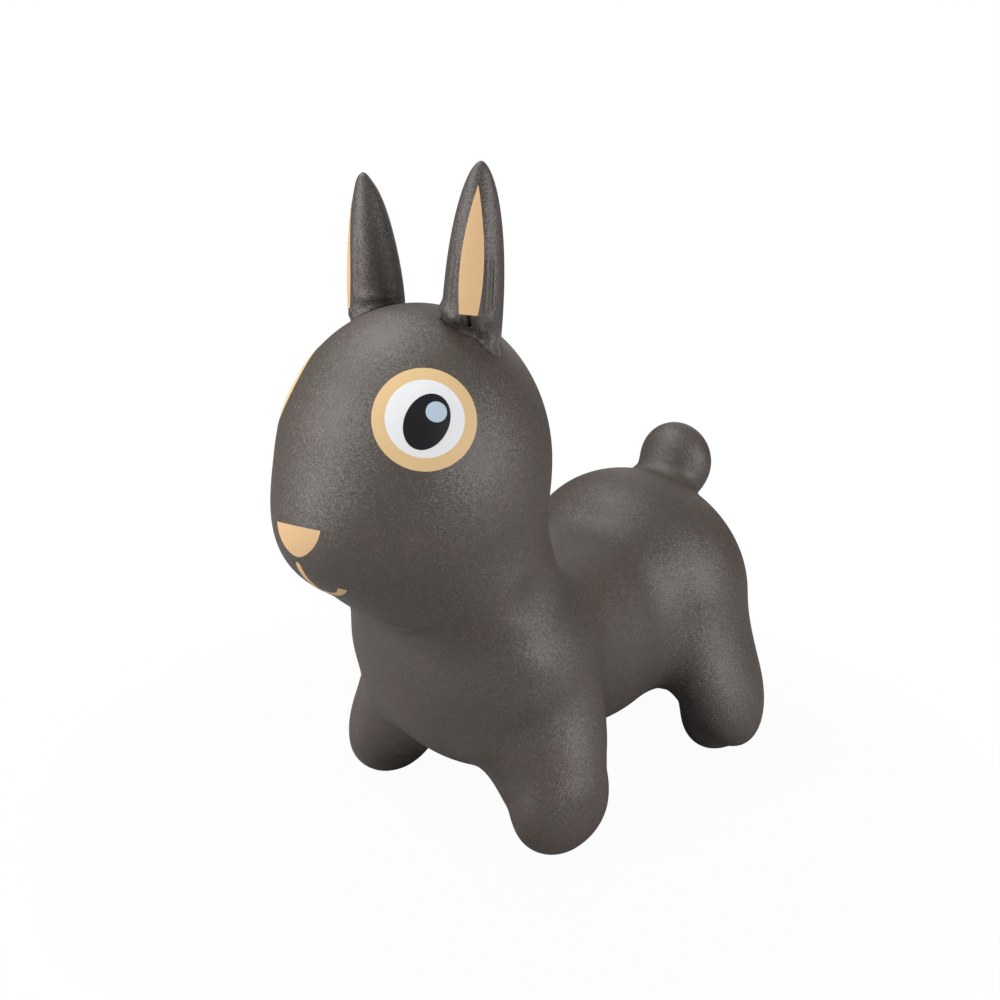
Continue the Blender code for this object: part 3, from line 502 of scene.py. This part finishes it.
def skin_marks(points):
    """How far the skin stands out at each point: uneven swelling, and folds round the neck."""
    head = field(points, HEAD)[0]
    total = field(points)[0]
    side = (2 * head - total) / total  # 1 on the head, -1 on the trunk, 0 in the crease
    middle, _ = lump_box("chest")
    around = np.arctan2(points[:, 0], -(points[:, 1] - middle.y))
    rays = np.array(
        [noise.noise(Vector((angle * NECK_FOLDS / math.tau, NECK_FOLD_PATTERN, 0))) for angle in around]
    )
    marks = NECK_FOLD_DEPTH * rays * bump(side, -NECK_FOLD_SPREAD, NECK_FOLD_SPREAD)
    ends = bump(np.abs(around), 0, CHIN_FOLD_ANGLE) + bump(np.abs(around), math.pi, CHIN_FOLD_ANGLE)
    marks += CHIN_FOLD * ends * bump(side, CHIN_FOLD_PLACE, CHIN_FOLD_SPREAD)
    swell = np.array([noise.noise(Vector(point) / UNEVENNESS_PITCH) for point in points])
    return marks + UNEVENNESS * swell


def press_soles(points, out):
    """Flattens the feet on the floor, with a soft rim round each sole."""
    level = out * (1, 1, 0)
    rim = SOLE_RIM * bump(points[:, 2], SOLE_RIM_HEIGHT / 2, SOLE_RIM_HEIGHT / 2)
    points = points + level * rim[:, None]
    points[:, 2] = np.maximum(points[:, 2], 0)
    return points


def bore_cutter(seat_height):
    """The stepped hole that the stopper sits in."""
    form = bmesh.new()
    for diameter, low, high in (
        (VALVE_SEAT, -VALVE_DEPTH, 0), (VALVE_BORE, -VALVE_DEPTH / 2, VALVE_DEPTH)
    ):
        place = Matrix.Translation((0, lump_box("belly")[0].y, seat_height + (low + high) / 2))
        bmesh.ops.create_cone(
            form, cap_ends=True, segments=VALVE_SEGMENTS, radius1=diameter / 2, radius2=diameter / 2,
            depth=high - low, matrix=place,
        )
    mesh = bpy.data.meshes.new("valve_bore")
    form.to_mesh(mesh)
    form.free()
    return mesh


def add_skin(look):
    mesh = swollen_mesh()
    points = settled(points_of(mesh))
    out = outward(points)
    points = points + out * skin_marks(points)[:, None]
    set_points(mesh, press_soles(points, out))
    skin = add_piece("skin", mesh, look)
    cutter = bpy.data.objects.new("valve_bore", bore_cutter(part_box("valve_plug")[1].z - VALVE_DEPTH))
    bpy.context.scene.collection.objects.link(cutter)
    bore = skin.modifiers.new("bore", "BOOLEAN")
    bore.object = cutter
    bore.solver = "EXACT"
    applied(skin)
    bpy.data.objects.remove(cutter)
    skin.data.shade_smooth()
    skin.data.set_sharp_from_angle(angle=SHARP_ANGLE)
    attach(skin, "skin")
    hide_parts("body_skin")
    return BVHTree.FromPolygons(
        [vertex.co for vertex in skin.data.vertices], [face.vertices for face in skin.data.polygons]
    )


# Ears


def ear_frame(name):
    """The ear's frame from its joint: its root, X along the hinge, Z along the ear, -Y out of its lining."""
    joint = next(joint for joint in frame["joints"] if joint["child"] == f"{name}_ear")
    across = Vector(joint["axis"]).normalized()
    along = (Vector((0, 0, 1)) - across * across.z).normalized()
    turn = Matrix((across, along.cross(across), along)).transposed().to_4x4()
    return Matrix.Translation(joint["pos_m"]) @ turn


def ear_section(height, length):
    """(half width, front, depth) of the plain ear at each height above its root. The tip is a round dome."""
    share = np.clip(height / length, 0, 1)
    half_width = EAR_RADIUS * (1 - share**EAR_WIDTH_CURVE) ** EAR_TIP_ROUNDING
    depth = 2 * EAR_RADIUS * (1 - share**EAR_DEPTH_CURVE) ** EAR_TIP_ROUNDING
    front = -EAR_RADIUS + EAR_TIP_SETBACK * share**EAR_FRONT_CURVE
    dome_depth = 2 * EAR_RADIUS * (1 - EAR_DOME_START**EAR_DEPTH_CURVE) ** EAR_TIP_ROUNDING
    dome = np.clip((share - EAR_DOME_START) / (1 - EAR_DOME_START), 0, 1)
    return half_width, front + EAR_DOME_SETBACK * dome_depth * (1 - np.sqrt(1 - dome**2)), depth


def ear_front_marks(name, x, height, half_width):
    """How far the ear's front lies behind its plain shape.

    Beside the lining runs a ridge with a furrow. Under the lining the front is drawn in, with two soft lobes
    and a dark fold between them.
    """
    share = x / np.maximum(half_width, TINY)
    tall = ramp(height, FURROW_BOTTOM - FURROW_BOTTOM_FADE, FURROW_BOTTOM)
    tall = tall * (1 - ramp(height, FURROW_TOP - FURROW_TOP_FADE, FURROW_TOP))
    furrow = FURROW_DEPTH * bump(np.abs(share), FURROW_PLACE, FURROW_SPREAD)
    ridge = RIDGE_HEIGHT * bump(np.abs(share), RIDGE_PLACE, RIDGE_SPREAD)
    edge = (furrow - ridge) * tall * np.where(share > 0, 1, INNER_SHARE)

    fall = LINING_STARTS[name] - height  # how far below the lining
    low = ramp(fall, 0, TUCK_HEIGHT)
    shallow = ramp(share, TUCK_OUTER_START, TUCK_OUTER_END)
    tuck = TUCK_DEPTHS[name] * low * (1 - (1 - TUCK_OUTER_SHARE) * shallow)
    slot = SLOT_DEPTH * bump(x, 0, SLOT_HALF_WIDTH) * ramp(fall, SLOT_TOP_START, SLOT_TOP_END)
    slot = slot * (1 - ramp(fall, SLOT_HEIGHT, SLOT_HEIGHT + SLOT_BOTTOM_FADE))
    inner = bump(x, INNER_LOBE_PLACE, LOBE_SPREAD) * bump(fall, INNER_LOBE_FALL, LOBE_NARROW_SPREAD)
    outer = bump(x, OUTER_LOBE_PLACE, LOBE_NARROW_SPREAD) * bump(fall, OUTER_LOBE_FALL, LOBE_SPREAD)
    outer = outer * ramp(x, OUTER_LOBE_START, OUTER_LOBE_END)
    puff = LOBE_PUFF * (inner + outer) * TUCK_DEPTHS[name] / TUCK_DEPTHS["left"]
    return edge + tuck + slot - puff


def crumple(points, fall):
    """Fine wrinkles under the lining."""
    depth = CRUMPLE * ramp(fall, 0, CRUMPLE_FADE)
    return depth * np.array([noise.noise(Vector(point) / CRUMPLE_PITCH) for point in points])


def ear_surface(name, height, angle):
    """Points of the ear in its own frame. The angle runs round the ear, and its front is at -90 degrees."""
    half_width, front, depth = ear_section(height, EAR_LENGTHS[name])
    x = half_width * np.cos(angle)
    y = front + depth / 2 * (1 + np.sin(angle))
    y = y + ear_front_marks(name, x, height, half_width) * ramp(-np.sin(angle), 0, MARKS_FADE)
    bulge = FOOT_BULGE * bump(height, FOOT_BULGE_HEIGHT, FOOT_BULGE_HEIGHT / 2)
    x = x - bulge * ramp(-np.cos(angle), FOOT_BULGE_START, 1)
    return np.stack(np.broadcast_arrays(x, y, height), axis=-1)


def add_ear(name, side, look):
    length = EAR_LENGTHS[name]
    place = ear_frame(name)
    skirt = -EAR_SKIRT * (1 - np.arange(SKIRT_ROWS) / SKIRT_ROWS)
    blade = length * np.sin(np.linspace(0, math.pi / 2, EAR_ROWS, endpoint=False))
    heights = np.concatenate((skirt, blade))
    angles = np.linspace(0, math.tau, EAR_SEGMENTS, endpoint=False)
    grid = ear_surface(name, heights[:, None], angles[None, :])
    front = np.broadcast_to(ramp(-np.sin(angles), 0, MARKS_FADE), grid.shape[:2]).ravel()
    points = grid.reshape(-1, 3)
    points[:, 1] += front * crumple(points, LINING_STARTS[name] - points[:, 2])
    points[:, 0] *= side

    turn = np.array(place.to_3x3())
    above = height_above_skin(points @ turn.T + np.array(place.translation))
    level = points * (1, 1, 0)
    level /= np.maximum(np.linalg.norm(level, axis=1), TINY)[:, None]
    welt = FOOT_WELT * bump(above, FOOT_WELT_HEIGHT / 2, FOOT_WELT_HEIGHT)
    points = points + level * np.where(points[:, 2] < FOOT_WELT_TOP, welt, 0)[:, None]

    tip = (0, ear_section(length, length)[1], length)
    rows = len(heights)
    faces = []
    for row in range(rows - 1):
        for step in range(EAR_SEGMENTS):
            after = (step + 1) % EAR_SEGMENTS
            low, high = row * EAR_SEGMENTS, (row + 1) * EAR_SEGMENTS
            faces.append((low + step, low + after, high + after, high + step))
    last = (rows - 1) * EAR_SEGMENTS
    top = rows * EAR_SEGMENTS
    faces += [(last + step, last + (step + 1) % EAR_SEGMENTS, top) for step in range(EAR_SEGMENTS)]
    faces.append(tuple(reversed(range(EAR_SEGMENTS))))
    mesh = mesh_from(f"ear_{name}_soft", [*points, tip], faces)
    if side < 0:
        mesh.flip_normals()
    mesh.transform(place)
    ear = add_piece(f"ear_{name}_soft", mesh, look)
    bend_with_ear(ear)
    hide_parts(f"ear_{name}")


def bend_with_ear(piece):
    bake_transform(piece)


def add_lining(name, side, look):
    """A leaf on the ear's front, pointed at the top."""
    length = EAR_LENGTHS[name]
    rise = LINING_SHARE * length
    up = 1 - (1 - np.linspace(0, 1, LINING_ROWS + 1)) ** LINING_CROWDING
    across = np.linspace(-1, 1, LINING_COLUMNS + 1)
    half = LINING_WIDTH / 2 * np.sin(LINING_SWELL * (1 - up)) ** LINING_POINT
    height = (LINING_STARTS[name] + rise * up)[:, None] + 0 * across
    x = half[:, None] * across[None, :]
    half_width, front, depth = ear_section(height, length)
    y = front + depth / 2 * (1 - np.sqrt(1 - (x / half_width) ** 2))
    y = y + ear_front_marks(name, x, height, half_width)
    points = np.stack((side * x, y - FILM_LIFT, height), axis=-1).reshape(-1, 3)
    wide = LINING_COLUMNS + 1
    faces = [
        (row * wide + col, row * wide + col + 1, (row + 1) * wide + col + 1, (row + 1) * wide + col)
        for row in range(LINING_ROWS) for col in range(LINING_COLUMNS)
    ]
    mesh = mesh_from(f"lining_{name}", points, faces)
    if side < 0:
        mesh.flip_normals()
    form = bmesh.new()
    form.from_mesh(mesh)
    bmesh.ops.remove_doubles(form, verts=form.verts, dist=MERGE_DISTANCE)
    form.to_mesh(mesh)
    form.free()
    place = ear_frame(name)
    mesh.transform(place)
    lining = add_piece(f"lining_{name}", mesh, look)
    thicken(lining)
    bend_with_ear(lining)
    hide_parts(f"ear_lining_{name}")


# Films on the skin


def thicken(film):
    """Gives a sheet its thickness, down into what it lies on."""
    solid = film.modifiers.new("thickness", "SOLIDIFY")
    solid.thickness = FILM_THICKNESS
    solid.offset = -1
    applied(film)
    film.data.set_sharp_from_angle(angle=SHARP_ANGLE)


def add_film(name, node, look, surface, place, flat, faces, level=0):
    """Drops a flat drawing onto the skin along its frame's Z, as a film that stands for a CAD node."""
    down = -place.to_3x3().col[2]
    hits = []
    for u, v in flat:
        hit = surface.ray_cast(place @ Vector((u, v, FILM_REACH)), down, 3 * FILM_REACH)[0]
        if hit is None:
            raise RuntimeError(f"{name} reaches past the skin")
        hits.append(hit)
    points = np.array(hits)
    points += outward(points) * (FILM_LIFT + level * FILM_STEP)
    mesh = mesh_from(name, points, faces)
    film = add_piece(name, mesh, look)
    thicken(film)
    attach(film, "skin")
    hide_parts(node)


def rings(inner, outer, count):
    """(points, faces) of a flat ring between two closed outlines. A single inner point makes a disc."""
    inner, outer = np.array(inner, float), np.array(outer, float)
    steps = len(outer)
    disc = len(inner) == 1
    shares = np.linspace(0, 1, count + 1)[1 if disc else 0:]
    points = np.concatenate([inner + (outer - inner) * share for share in shares])
    faces = []
    for row in range(len(shares) - 1):
        for step in range(steps):
            after = (step + 1) % steps
            low, high = row * steps, (row + 1) * steps
            faces.append((low + step, high + step, high + after, low + after))
    if disc:
        faces += [(len(points), step, (step + 1) % steps) for step in range(steps)]
        points = np.concatenate((points, inner))
    return points, faces


def ellipse(middle, half_width, half_height, tilt=0.0):
    """Points round an ellipse whose upper end leans towards +u by the tilt."""
    angle = np.linspace(0, math.tau, FILM_SEGMENTS, endpoint=False)
    u, v = half_width * np.cos(angle), half_height * np.sin(angle)
    turned = (u * math.cos(tilt) + v * math.sin(tilt), v * math.cos(tilt) - u * math.sin(tilt))
    return np.stack(turned, axis=-1) + np.array(middle)


def eye_place(surface, name, side):
    """The eye's middle on the skin, Z out of the skin there, Y up."""
    middle, size = lump_box("cranium")
    turn = EYE_TURNS[name]
    level = math.cos(EYE_RISE)
    ray = Vector((side * level * math.sin(turn), -level * math.cos(turn), math.sin(EYE_RISE)))
    hit = surface.ray_cast(middle, ray)[0]
    egg = hit - middle
    out = Vector([egg[axis] / size[axis] ** 2 for axis in range(3)]).normalized()
    across = Vector((0, 0, 1)).cross(out).normalized()
    axes = Matrix((across, out.cross(across), out)).transposed()
    return Matrix.Translation(hit) @ axes.to_4x4()


def add_eye(surface, name, side, looks):
    """From below: ring, white, pupil and glint. The right eye mirrors the left one's shapes."""
    place = eye_place(surface, name, side)
    tilt = side * PUPIL_TILT
    pupil = Vector((side * PUPIL_SHIFT, -PUPIL_DROP))
    glint = Vector(
        (
            side * (PUPIL_WIDTH / 2 - GLINT_RADIUS - GLINT_SIDE_RIM),
            PUPIL_LENGTH / 2 - GLINT_RADIUS - GLINT_TOP_RIM,
        )
    )
    glint.rotate(Matrix.Rotation(-tilt, 2))
    glint += pupil
    white = ellipse((0, 0), WHITE_RADIUS, WHITE_RADIUS)
    drawings = {
        "ring": rings(white * RING_INSIDE, ellipse((0, 0), RING_RADIUS, RING_RADIUS), FILM_RINGS // 2),
        "white": rings([(0, 0)], white, FILM_RINGS),
        "pupil": rings([pupil], ellipse(pupil, PUPIL_WIDTH / 2, PUPIL_LENGTH / 2, tilt), FILM_RINGS),
        "glint": rings([glint], ellipse(glint, GLINT_RADIUS, GLINT_RADIUS), FILM_RINGS // 2),
    }
    for level, (part, (flat, faces)) in enumerate(drawings.items()):
        node = f"eye_{part}_{name}"
        add_film(f"{part}_{name}", node, looks[part], surface, place, flat, faces, level)


def nose_place(surface):
    """Middle of the nose's top edge, Z towards the front."""
    middle, _ = lump_box("muzzle")
    hit = surface.ray_cast(middle - Vector((0, 0, NOSE_DROP)), Vector((0, -1, 0)))[0]
    turn = Matrix.Rotation(math.radians(90), 4, "X") @ Matrix.Rotation(NOSE_TILT, 4, "Z")
    return Matrix.Translation(hit) @ turn


def nose_edge():
    """A shield with full sides and a round tip. Its top edge bows up, so it looks straight on the muzzle."""
    half = NOSE_WIDTH / 2
    share = np.sin(np.linspace(0, math.pi / 2, NOSE_POINTS))
    u = half * (1 - share**NOSE_SIDE_CURVE) ** NOSE_TIP_ROUNDING
    down = np.stack((u, -NOSE_HEIGHT * share), axis=-1)
    up = (down * (-1, 1))[-2::-1]
    across = np.linspace(-half, half, NOSE_POINTS)[1:-1]
    top = np.stack((across, NOSE_BOW * (1 - (across / half) ** 2)), axis=-1)
    return np.concatenate((down, up, top))[::-1]


def add_nose(surface, look):
    flat, faces = rings([(0, -NOSE_HEIGHT * NOSE_MIDDLE)], nose_edge(), FILM_RINGS)
    add_film("nose_film", "nose", look, surface, nose_place(surface), flat, faces)


def stroke_rows(path, widths):
    """Rows of three points, left, middle and right, along a painted stroke."""
    ahead = np.gradient(path, axis=0)
    ahead /= np.linalg.norm(ahead, axis=1)[:, None]
    left = np.stack((-ahead[:, 1], ahead[:, 0]), axis=-1) * (widths / 2)[:, None]
    return np.stack((path + left, path, path - left), axis=1)


def mouth_drawing():
    """(points, faces) of an upright stroke that parts into two curls, each with a thicker, round end."""
    down = np.linspace(0, 1, LIP_ROWS)
    lip = np.stack((0 * down, LIP_LENGTH * (1 - down)), axis=-1)
    lip_width = STROKE * np.sqrt(1 - (1 - np.clip(down / LIP_ROUND_END, 0, 1)) ** 2 * LIP_NARROWING)
    lip_rows = stroke_rows(lip, lip_width)  # its left is the rabbit's left, +u

    out = np.linspace(0, 1, CURL_ROWS)[1:]
    u = SMILE_REACH * np.sin(out * math.pi / 2) ** CURL_CROWDING
    bend = SMILE_RISE / ((SMILE_REACH - SMILE_LOW) ** 2 - SMILE_LOW**2)
    curl = np.stack((u, bend * ((u - SMILE_LOW) ** 2 - SMILE_LOW**2)), axis=-1)
    past = np.clip((out - CURL_ROUND_START) / (1 - CURL_ROUND_START), 0, 1)
    end = np.sqrt(np.maximum(1 - past**2, CURL_END_KEEPS))
    growth = CURL_GROWTH * ramp(out, CURL_GROWTH_START, CURL_GROWTH_END)
    curl_width = STROKE * (CURL_WIDTH + growth) * end
    curl_rows = stroke_rows(curl, curl_width)  # its left is above it

    below = np.array((0.0, -STROKE / 2))
    points = [*lip_rows.reshape(-1, 2), below]
    faces = []
    for row in range(len(lip_rows) - 1):
        for col in range(2):
            start = 3 * row + col
            faces.append((start, start + 1, start + 4, start + 3))
    bottom = 3 * (len(lip_rows) - 1)
    low = len(points) - 1
    for side, corner in ((1, bottom), (-1, bottom + 2)):
        before = (corner, bottom + 1, low)
        for upper, middle, lower in curl_rows * (side, 1):
            row = tuple(range(len(points), len(points) + 3))
            points += [upper, middle, lower]
            for col in range(2):
                face = (before[col], before[col + 1], row[col + 1], row[col])
                faces.append(face if side > 0 else face[::-1])
            before = row
    return np.array(points), faces


def add_mouth(surface, look):
    out = Vector((0, -math.cos(MOUTH_DIP), -math.sin(MOUTH_DIP)))
    up = Vector((0, -math.sin(MOUTH_DIP), math.cos(MOUTH_DIP)))
    tip = nose_place(surface) @ Vector((0, -NOSE_HEIGHT, 0))
    middle, _ = lump_box("muzzle")
    start = surface.ray_cast(Vector((0, middle.y, tip.z)), Vector((0, -1, 0)))[0]
    turn = Matrix((Vector((1, 0, 0)), up, out)).transposed().to_4x4()
    place = Matrix.Translation(start - up * (NOSE_MOUTH_GAP + LIP_LENGTH)) @ turn
    flat, faces = mouth_drawing()
    add_film("mouth_film", "mouth", look, surface, place, flat, faces)


# Materials


def add_node(tree, kind, inputs=(), **settings):
    """A shader node with its settings, and its inputs set to values or linked to sockets."""
    made = tree.nodes.new(kind)
    for key, value in settings.items():
        setattr(made, key, value)
    for key, value in dict(inputs).items():
        if isinstance(value, bpy.types.NodeSocket):
            tree.links.new(value, made.inputs[key])
        else:
            made.inputs[key].default_value = value
    return made


def new_material(name):
    made = bpy.data.materials.new(name)
    made.use_nodes = True
    made.node_tree.nodes.clear()
    return made, made.node_tree


def math_node(tree, operation, *values):
    return add_node(tree, "ShaderNodeMath", enumerate(values), operation=operation).outputs[0]


def noise_node(tree, place, scale, detail=NOISE_DETAIL):
    inputs = {"Vector": place, "Scale": scale, "Detail": detail}
    return add_node(tree, "ShaderNodeTexNoise", inputs).outputs[0]


def mix_colour(tree, share, first, second):
    """A colour between two. Several sockets of the node share a name, so they are picked by number."""
    first, second = [
        value if isinstance(value, bpy.types.NodeSocket) else (*value, 1) for value in (first, second)
    ]
    inputs = {MIX_SHARE: share, MIX_FIRST: first, MIX_SECOND: second}
    return add_node(tree, "ShaderNodeMix", inputs, data_type="RGBA").outputs[MIX_RESULT]


def finish_material(tree, inputs):
    shader = add_node(tree, "ShaderNodeBsdfPrincipled", inputs)
    add_node(tree, "ShaderNodeOutputMaterial", {"Surface": shader.outputs[0]})


def vinyl(name, colour):
    """Dark soft vinyl full of fine glitter.

    Each flake is a small cell that leans its own way and so catches its own light. A few flakes are brighter.
    """
    made, tree = new_material(name)
    place = add_node(tree, "ShaderNodeTexCoord").outputs["Object"]
    patches, clouds = [noise_node(tree, place, scale) for scale in (PATCH_SCALE, CLOUD_SCALE)]
    weighted = [
        math_node(tree, "MULTIPLY", mark, gain)
        for mark, gain in ((patches, PATCH_GAIN), (clouds, CLOUD_GAIN))
    ]
    tint = math_node(tree, "SUBTRACT", math_node(tree, "ADD", *weighted), TINT_SHIFT)
    greenish, reddish = [
        [share * gain for share, gain in zip(colour, gains)] for gains in (GREENISH, REDDISH)
    ]
    base = mix_colour(tree, tint, greenish, reddish)

    flakes = add_node(tree, "ShaderNodeTexVoronoi", {"Vector": place, "Scale": FLAKE_SCALE}).outputs["Color"]
    lean = add_node(
        tree, "ShaderNodeVectorMath", {0: flakes, 1: FLAKE_MIDDLE}, operation="SUBTRACT"
    ).outputs[0]
    out = add_node(tree, "ShaderNodeNewGeometry").outputs["Normal"]
    leant = add_node(
        tree, "ShaderNodeVectorMath", {0: lean, 1: (FLAKE_LEAN,) * 3, 2: out}, operation="MULTIPLY_ADD"
    ).outputs[0]
    surface = add_node(tree, "ShaderNodeVectorMath", {0: leant}, operation="NORMALIZE").outputs[0]
    luck = add_node(tree, "ShaderNodeSeparateColor", {"Color": flakes}).outputs[0]
    bright = math_node(tree, "MULTIPLY", math_node(tree, "GREATER_THAN", luck, 1 - FLAKE_SHARE), FLAKE_GAIN)
    base = mix_colour(tree, bright, base, FLAKE_COLOUR)

    smears = noise_node(tree, place, SMEAR_SCALE, SMEAR_DETAIL)
    smoothest = VINYL_ROUGHNESS - SMEAR_ROUGHNESS / 2
    roughness = math_node(tree, "MULTIPLY_ADD", smears, SMEAR_ROUGHNESS, smoothest)
    finish_material(
        tree,
        {
            "Base Color": base, "Roughness": roughness, "Normal": surface, "Metallic": 0.0,
            "Specular IOR Level": VINYL_GLOSS, "Coat Weight": 0.0,
        },
    )
    return made


def paint(name, colour, roughness=PAINT_ROUGHNESS, grain=PAINT_GRAIN, gloss=PAINT_GLOSS):
    """A sprayed or printed area: even colour with a little grain."""
    made, tree = new_material(name)
    place = add_node(tree, "ShaderNodeTexCoord").outputs["Object"]
    specks = noise_node(tree, place, SPECK_SCALE)
    clouds = noise_node(tree, place, PAINT_CLOUD_SCALE)
    weighted = [
        math_node(tree, "MULTIPLY", mark, share)
        for mark, share in ((specks, SPECK_SHARE), (clouds, 1 - SPECK_SHARE))
    ]
    mixed = math_node(tree, "ADD", *weighted)
    darker = [share * (1 - grain) for share in colour]
    lighter = [min(share * (1 + grain), 1) for share in colour]
    base = mix_colour(tree, mixed, darker, lighter)
    surface = add_node(
        tree, "ShaderNodeBump", {"Height": specks, "Strength": SPECK_BUMP, "Distance": SPECK_HEIGHT}
    ).outputs[0]
    finish_material(
        tree,
        {
            "Base Color": base, "Roughness": roughness, "Normal": surface, "Metallic": 0.0,
            "Specular IOR Level": gloss,
        },
    )
    return made


def stopper_plastic():
    made = paint("stopper_plastic", linear(STOPPER_WHITE), roughness=0.32, grain=0.03, gloss=0.5)
    node = frame["nodes"]["valve_plug"]
    for slot in node.material_slots:
        slot.material = made


# Studio


def add_floor():
    """A floor that looks white and still takes a little of the toy's shadow near its feet."""
    half = FLOOR_SIZE / 2
    corners = [(-half, -half, 0), (half, -half, 0), (half, half, 0), (-half, half, 0)]
    made, tree = new_material("white_floor")
    seen = add_node(tree, "ShaderNodeLightPath").outputs["Is Camera Ray"]
    place = add_node(tree, "ShaderNodeTexCoord").outputs["Object"]
    away = add_node(tree, "ShaderNodeVectorMath", {0: place}, operation="LENGTH").outputs["Value"]
    glowing = add_node(
        tree, "ShaderNodeMapRange",
        {
            "Value": away, "From Min": SHADOW_START, "From Max": SHADOW_END, "To Min": FLOOR_GLOW,
            "To Max": 1.0,
        },
        interpolation_type="SMOOTHSTEP",
    ).outputs[0]
    lit = add_node(tree, "ShaderNodeBsdfDiffuse", {"Color": (*FLOOR_COLOUR, 1)}).outputs[0]
    glow = add_node(tree, "ShaderNodeEmission", {"Color": (1, 1, 1, 1), "Strength": 1.0}).outputs[0]
    share = math_node(tree, "MULTIPLY", seen, glowing)
    mixed = add_node(tree, "ShaderNodeMixShader", {0: share, 1: lit, 2: glow}).outputs[0]
    add_node(tree, "ShaderNodeOutputMaterial", {"Surface": mixed})
    add_piece("floor", mesh_from("floor", corners, [(0, 1, 2, 3)]), made)


def add_room():
    """A dim room that looks white to the camera."""
    world = bpy.data.worlds.new("white_room")
    world.use_nodes = True
    tree = world.node_tree
    tree.nodes.clear()
    seen = add_node(tree, "ShaderNodeLightPath").outputs["Is Camera Ray"]
    strength = math_node(tree, "MULTIPLY_ADD", seen, 1 - ROOM_LIGHT, ROOM_LIGHT)
    room = add_node(tree, "ShaderNodeBackground", {"Color": (1, 1, 1, 1), "Strength": strength}).outputs[0]
    add_node(tree, "ShaderNodeOutputWorld", {"Surface": room})
    bpy.context.scene.world = world


def add_softbox(name, heading, rise, distance, size, power):
    """A square soft light that looks at the middle of the toy from this heading and height angle."""
    back = Vector((math.sin(heading) * math.cos(rise), -math.cos(heading) * math.cos(rise), math.sin(rise)))
    data = bpy.data.lights.new(name, "AREA")
    data.shape = "SQUARE"
    data.size = size
    data.energy = power
    light = bpy.data.objects.new(name, data)
    light.location = LIGHT_TARGET + back * distance
    light.rotation_euler = back.to_track_quat("Z", "Y").to_euler()
    bpy.context.scene.collection.objects.link(light)


def add_lights():
    for name, (heading, rise, size, power) in SOFTBOXES.items():
        add_softbox(f"{name}_softbox", math.radians(heading), math.radians(rise), LIGHT_DISTANCE, size, power)


def add_camera():
    data = bpy.data.cameras.new("photo_view")
    data.sensor_width = CAMERA_SENSOR
    data.lens = CAMERA_LENS
    camera = bpy.data.objects.new("photo_view", data)
    turn = (
        Matrix.Rotation(CAMERA_HEADING, 4, "Z")
        @ Matrix.Rotation(math.radians(90) - CAMERA_RISE, 4, "X")
        @ Matrix.Rotation(CAMERA_ROLL, 4, "Z")
    )
    camera.matrix_world = Matrix.Translation(CAMERA_PLACE) @ turn
    bpy.context.scene.collection.objects.link(camera)
    bpy.context.scene.camera = camera
    bpy.context.scene.view_settings.view_transform = "Standard"


def main():
    tan = paint("sprayed_tan", linear(TAN))
    looks = {
        "ring": paint("printed_ring", linear(RING_TAN)),
        "white": paint("printed_white", linear(EYE_WHITE), grain=0.02),
        "pupil": paint("printed_black", linear(PUPIL_BLACK), roughness=0.4),
        "glint": paint("printed_pale_blue", linear(GLINT_BLUE)),
    }
    surface = add_skin(vinyl("glitter_vinyl", linear(SKIN_COLOUR)))
    ear_look = vinyl("ear_vinyl", linear(EAR_COLOUR))
    for name, side in SIDES.items():
        add_ear(name, side, ear_look)
        add_lining(name, side, tan)
        add_eye(surface, name, side, looks)
    add_nose(surface, tan)
    add_mouth(surface, tan)
    stopper_plastic()
    add_floor()
    add_room()
    add_lights()
    add_camera()


main()
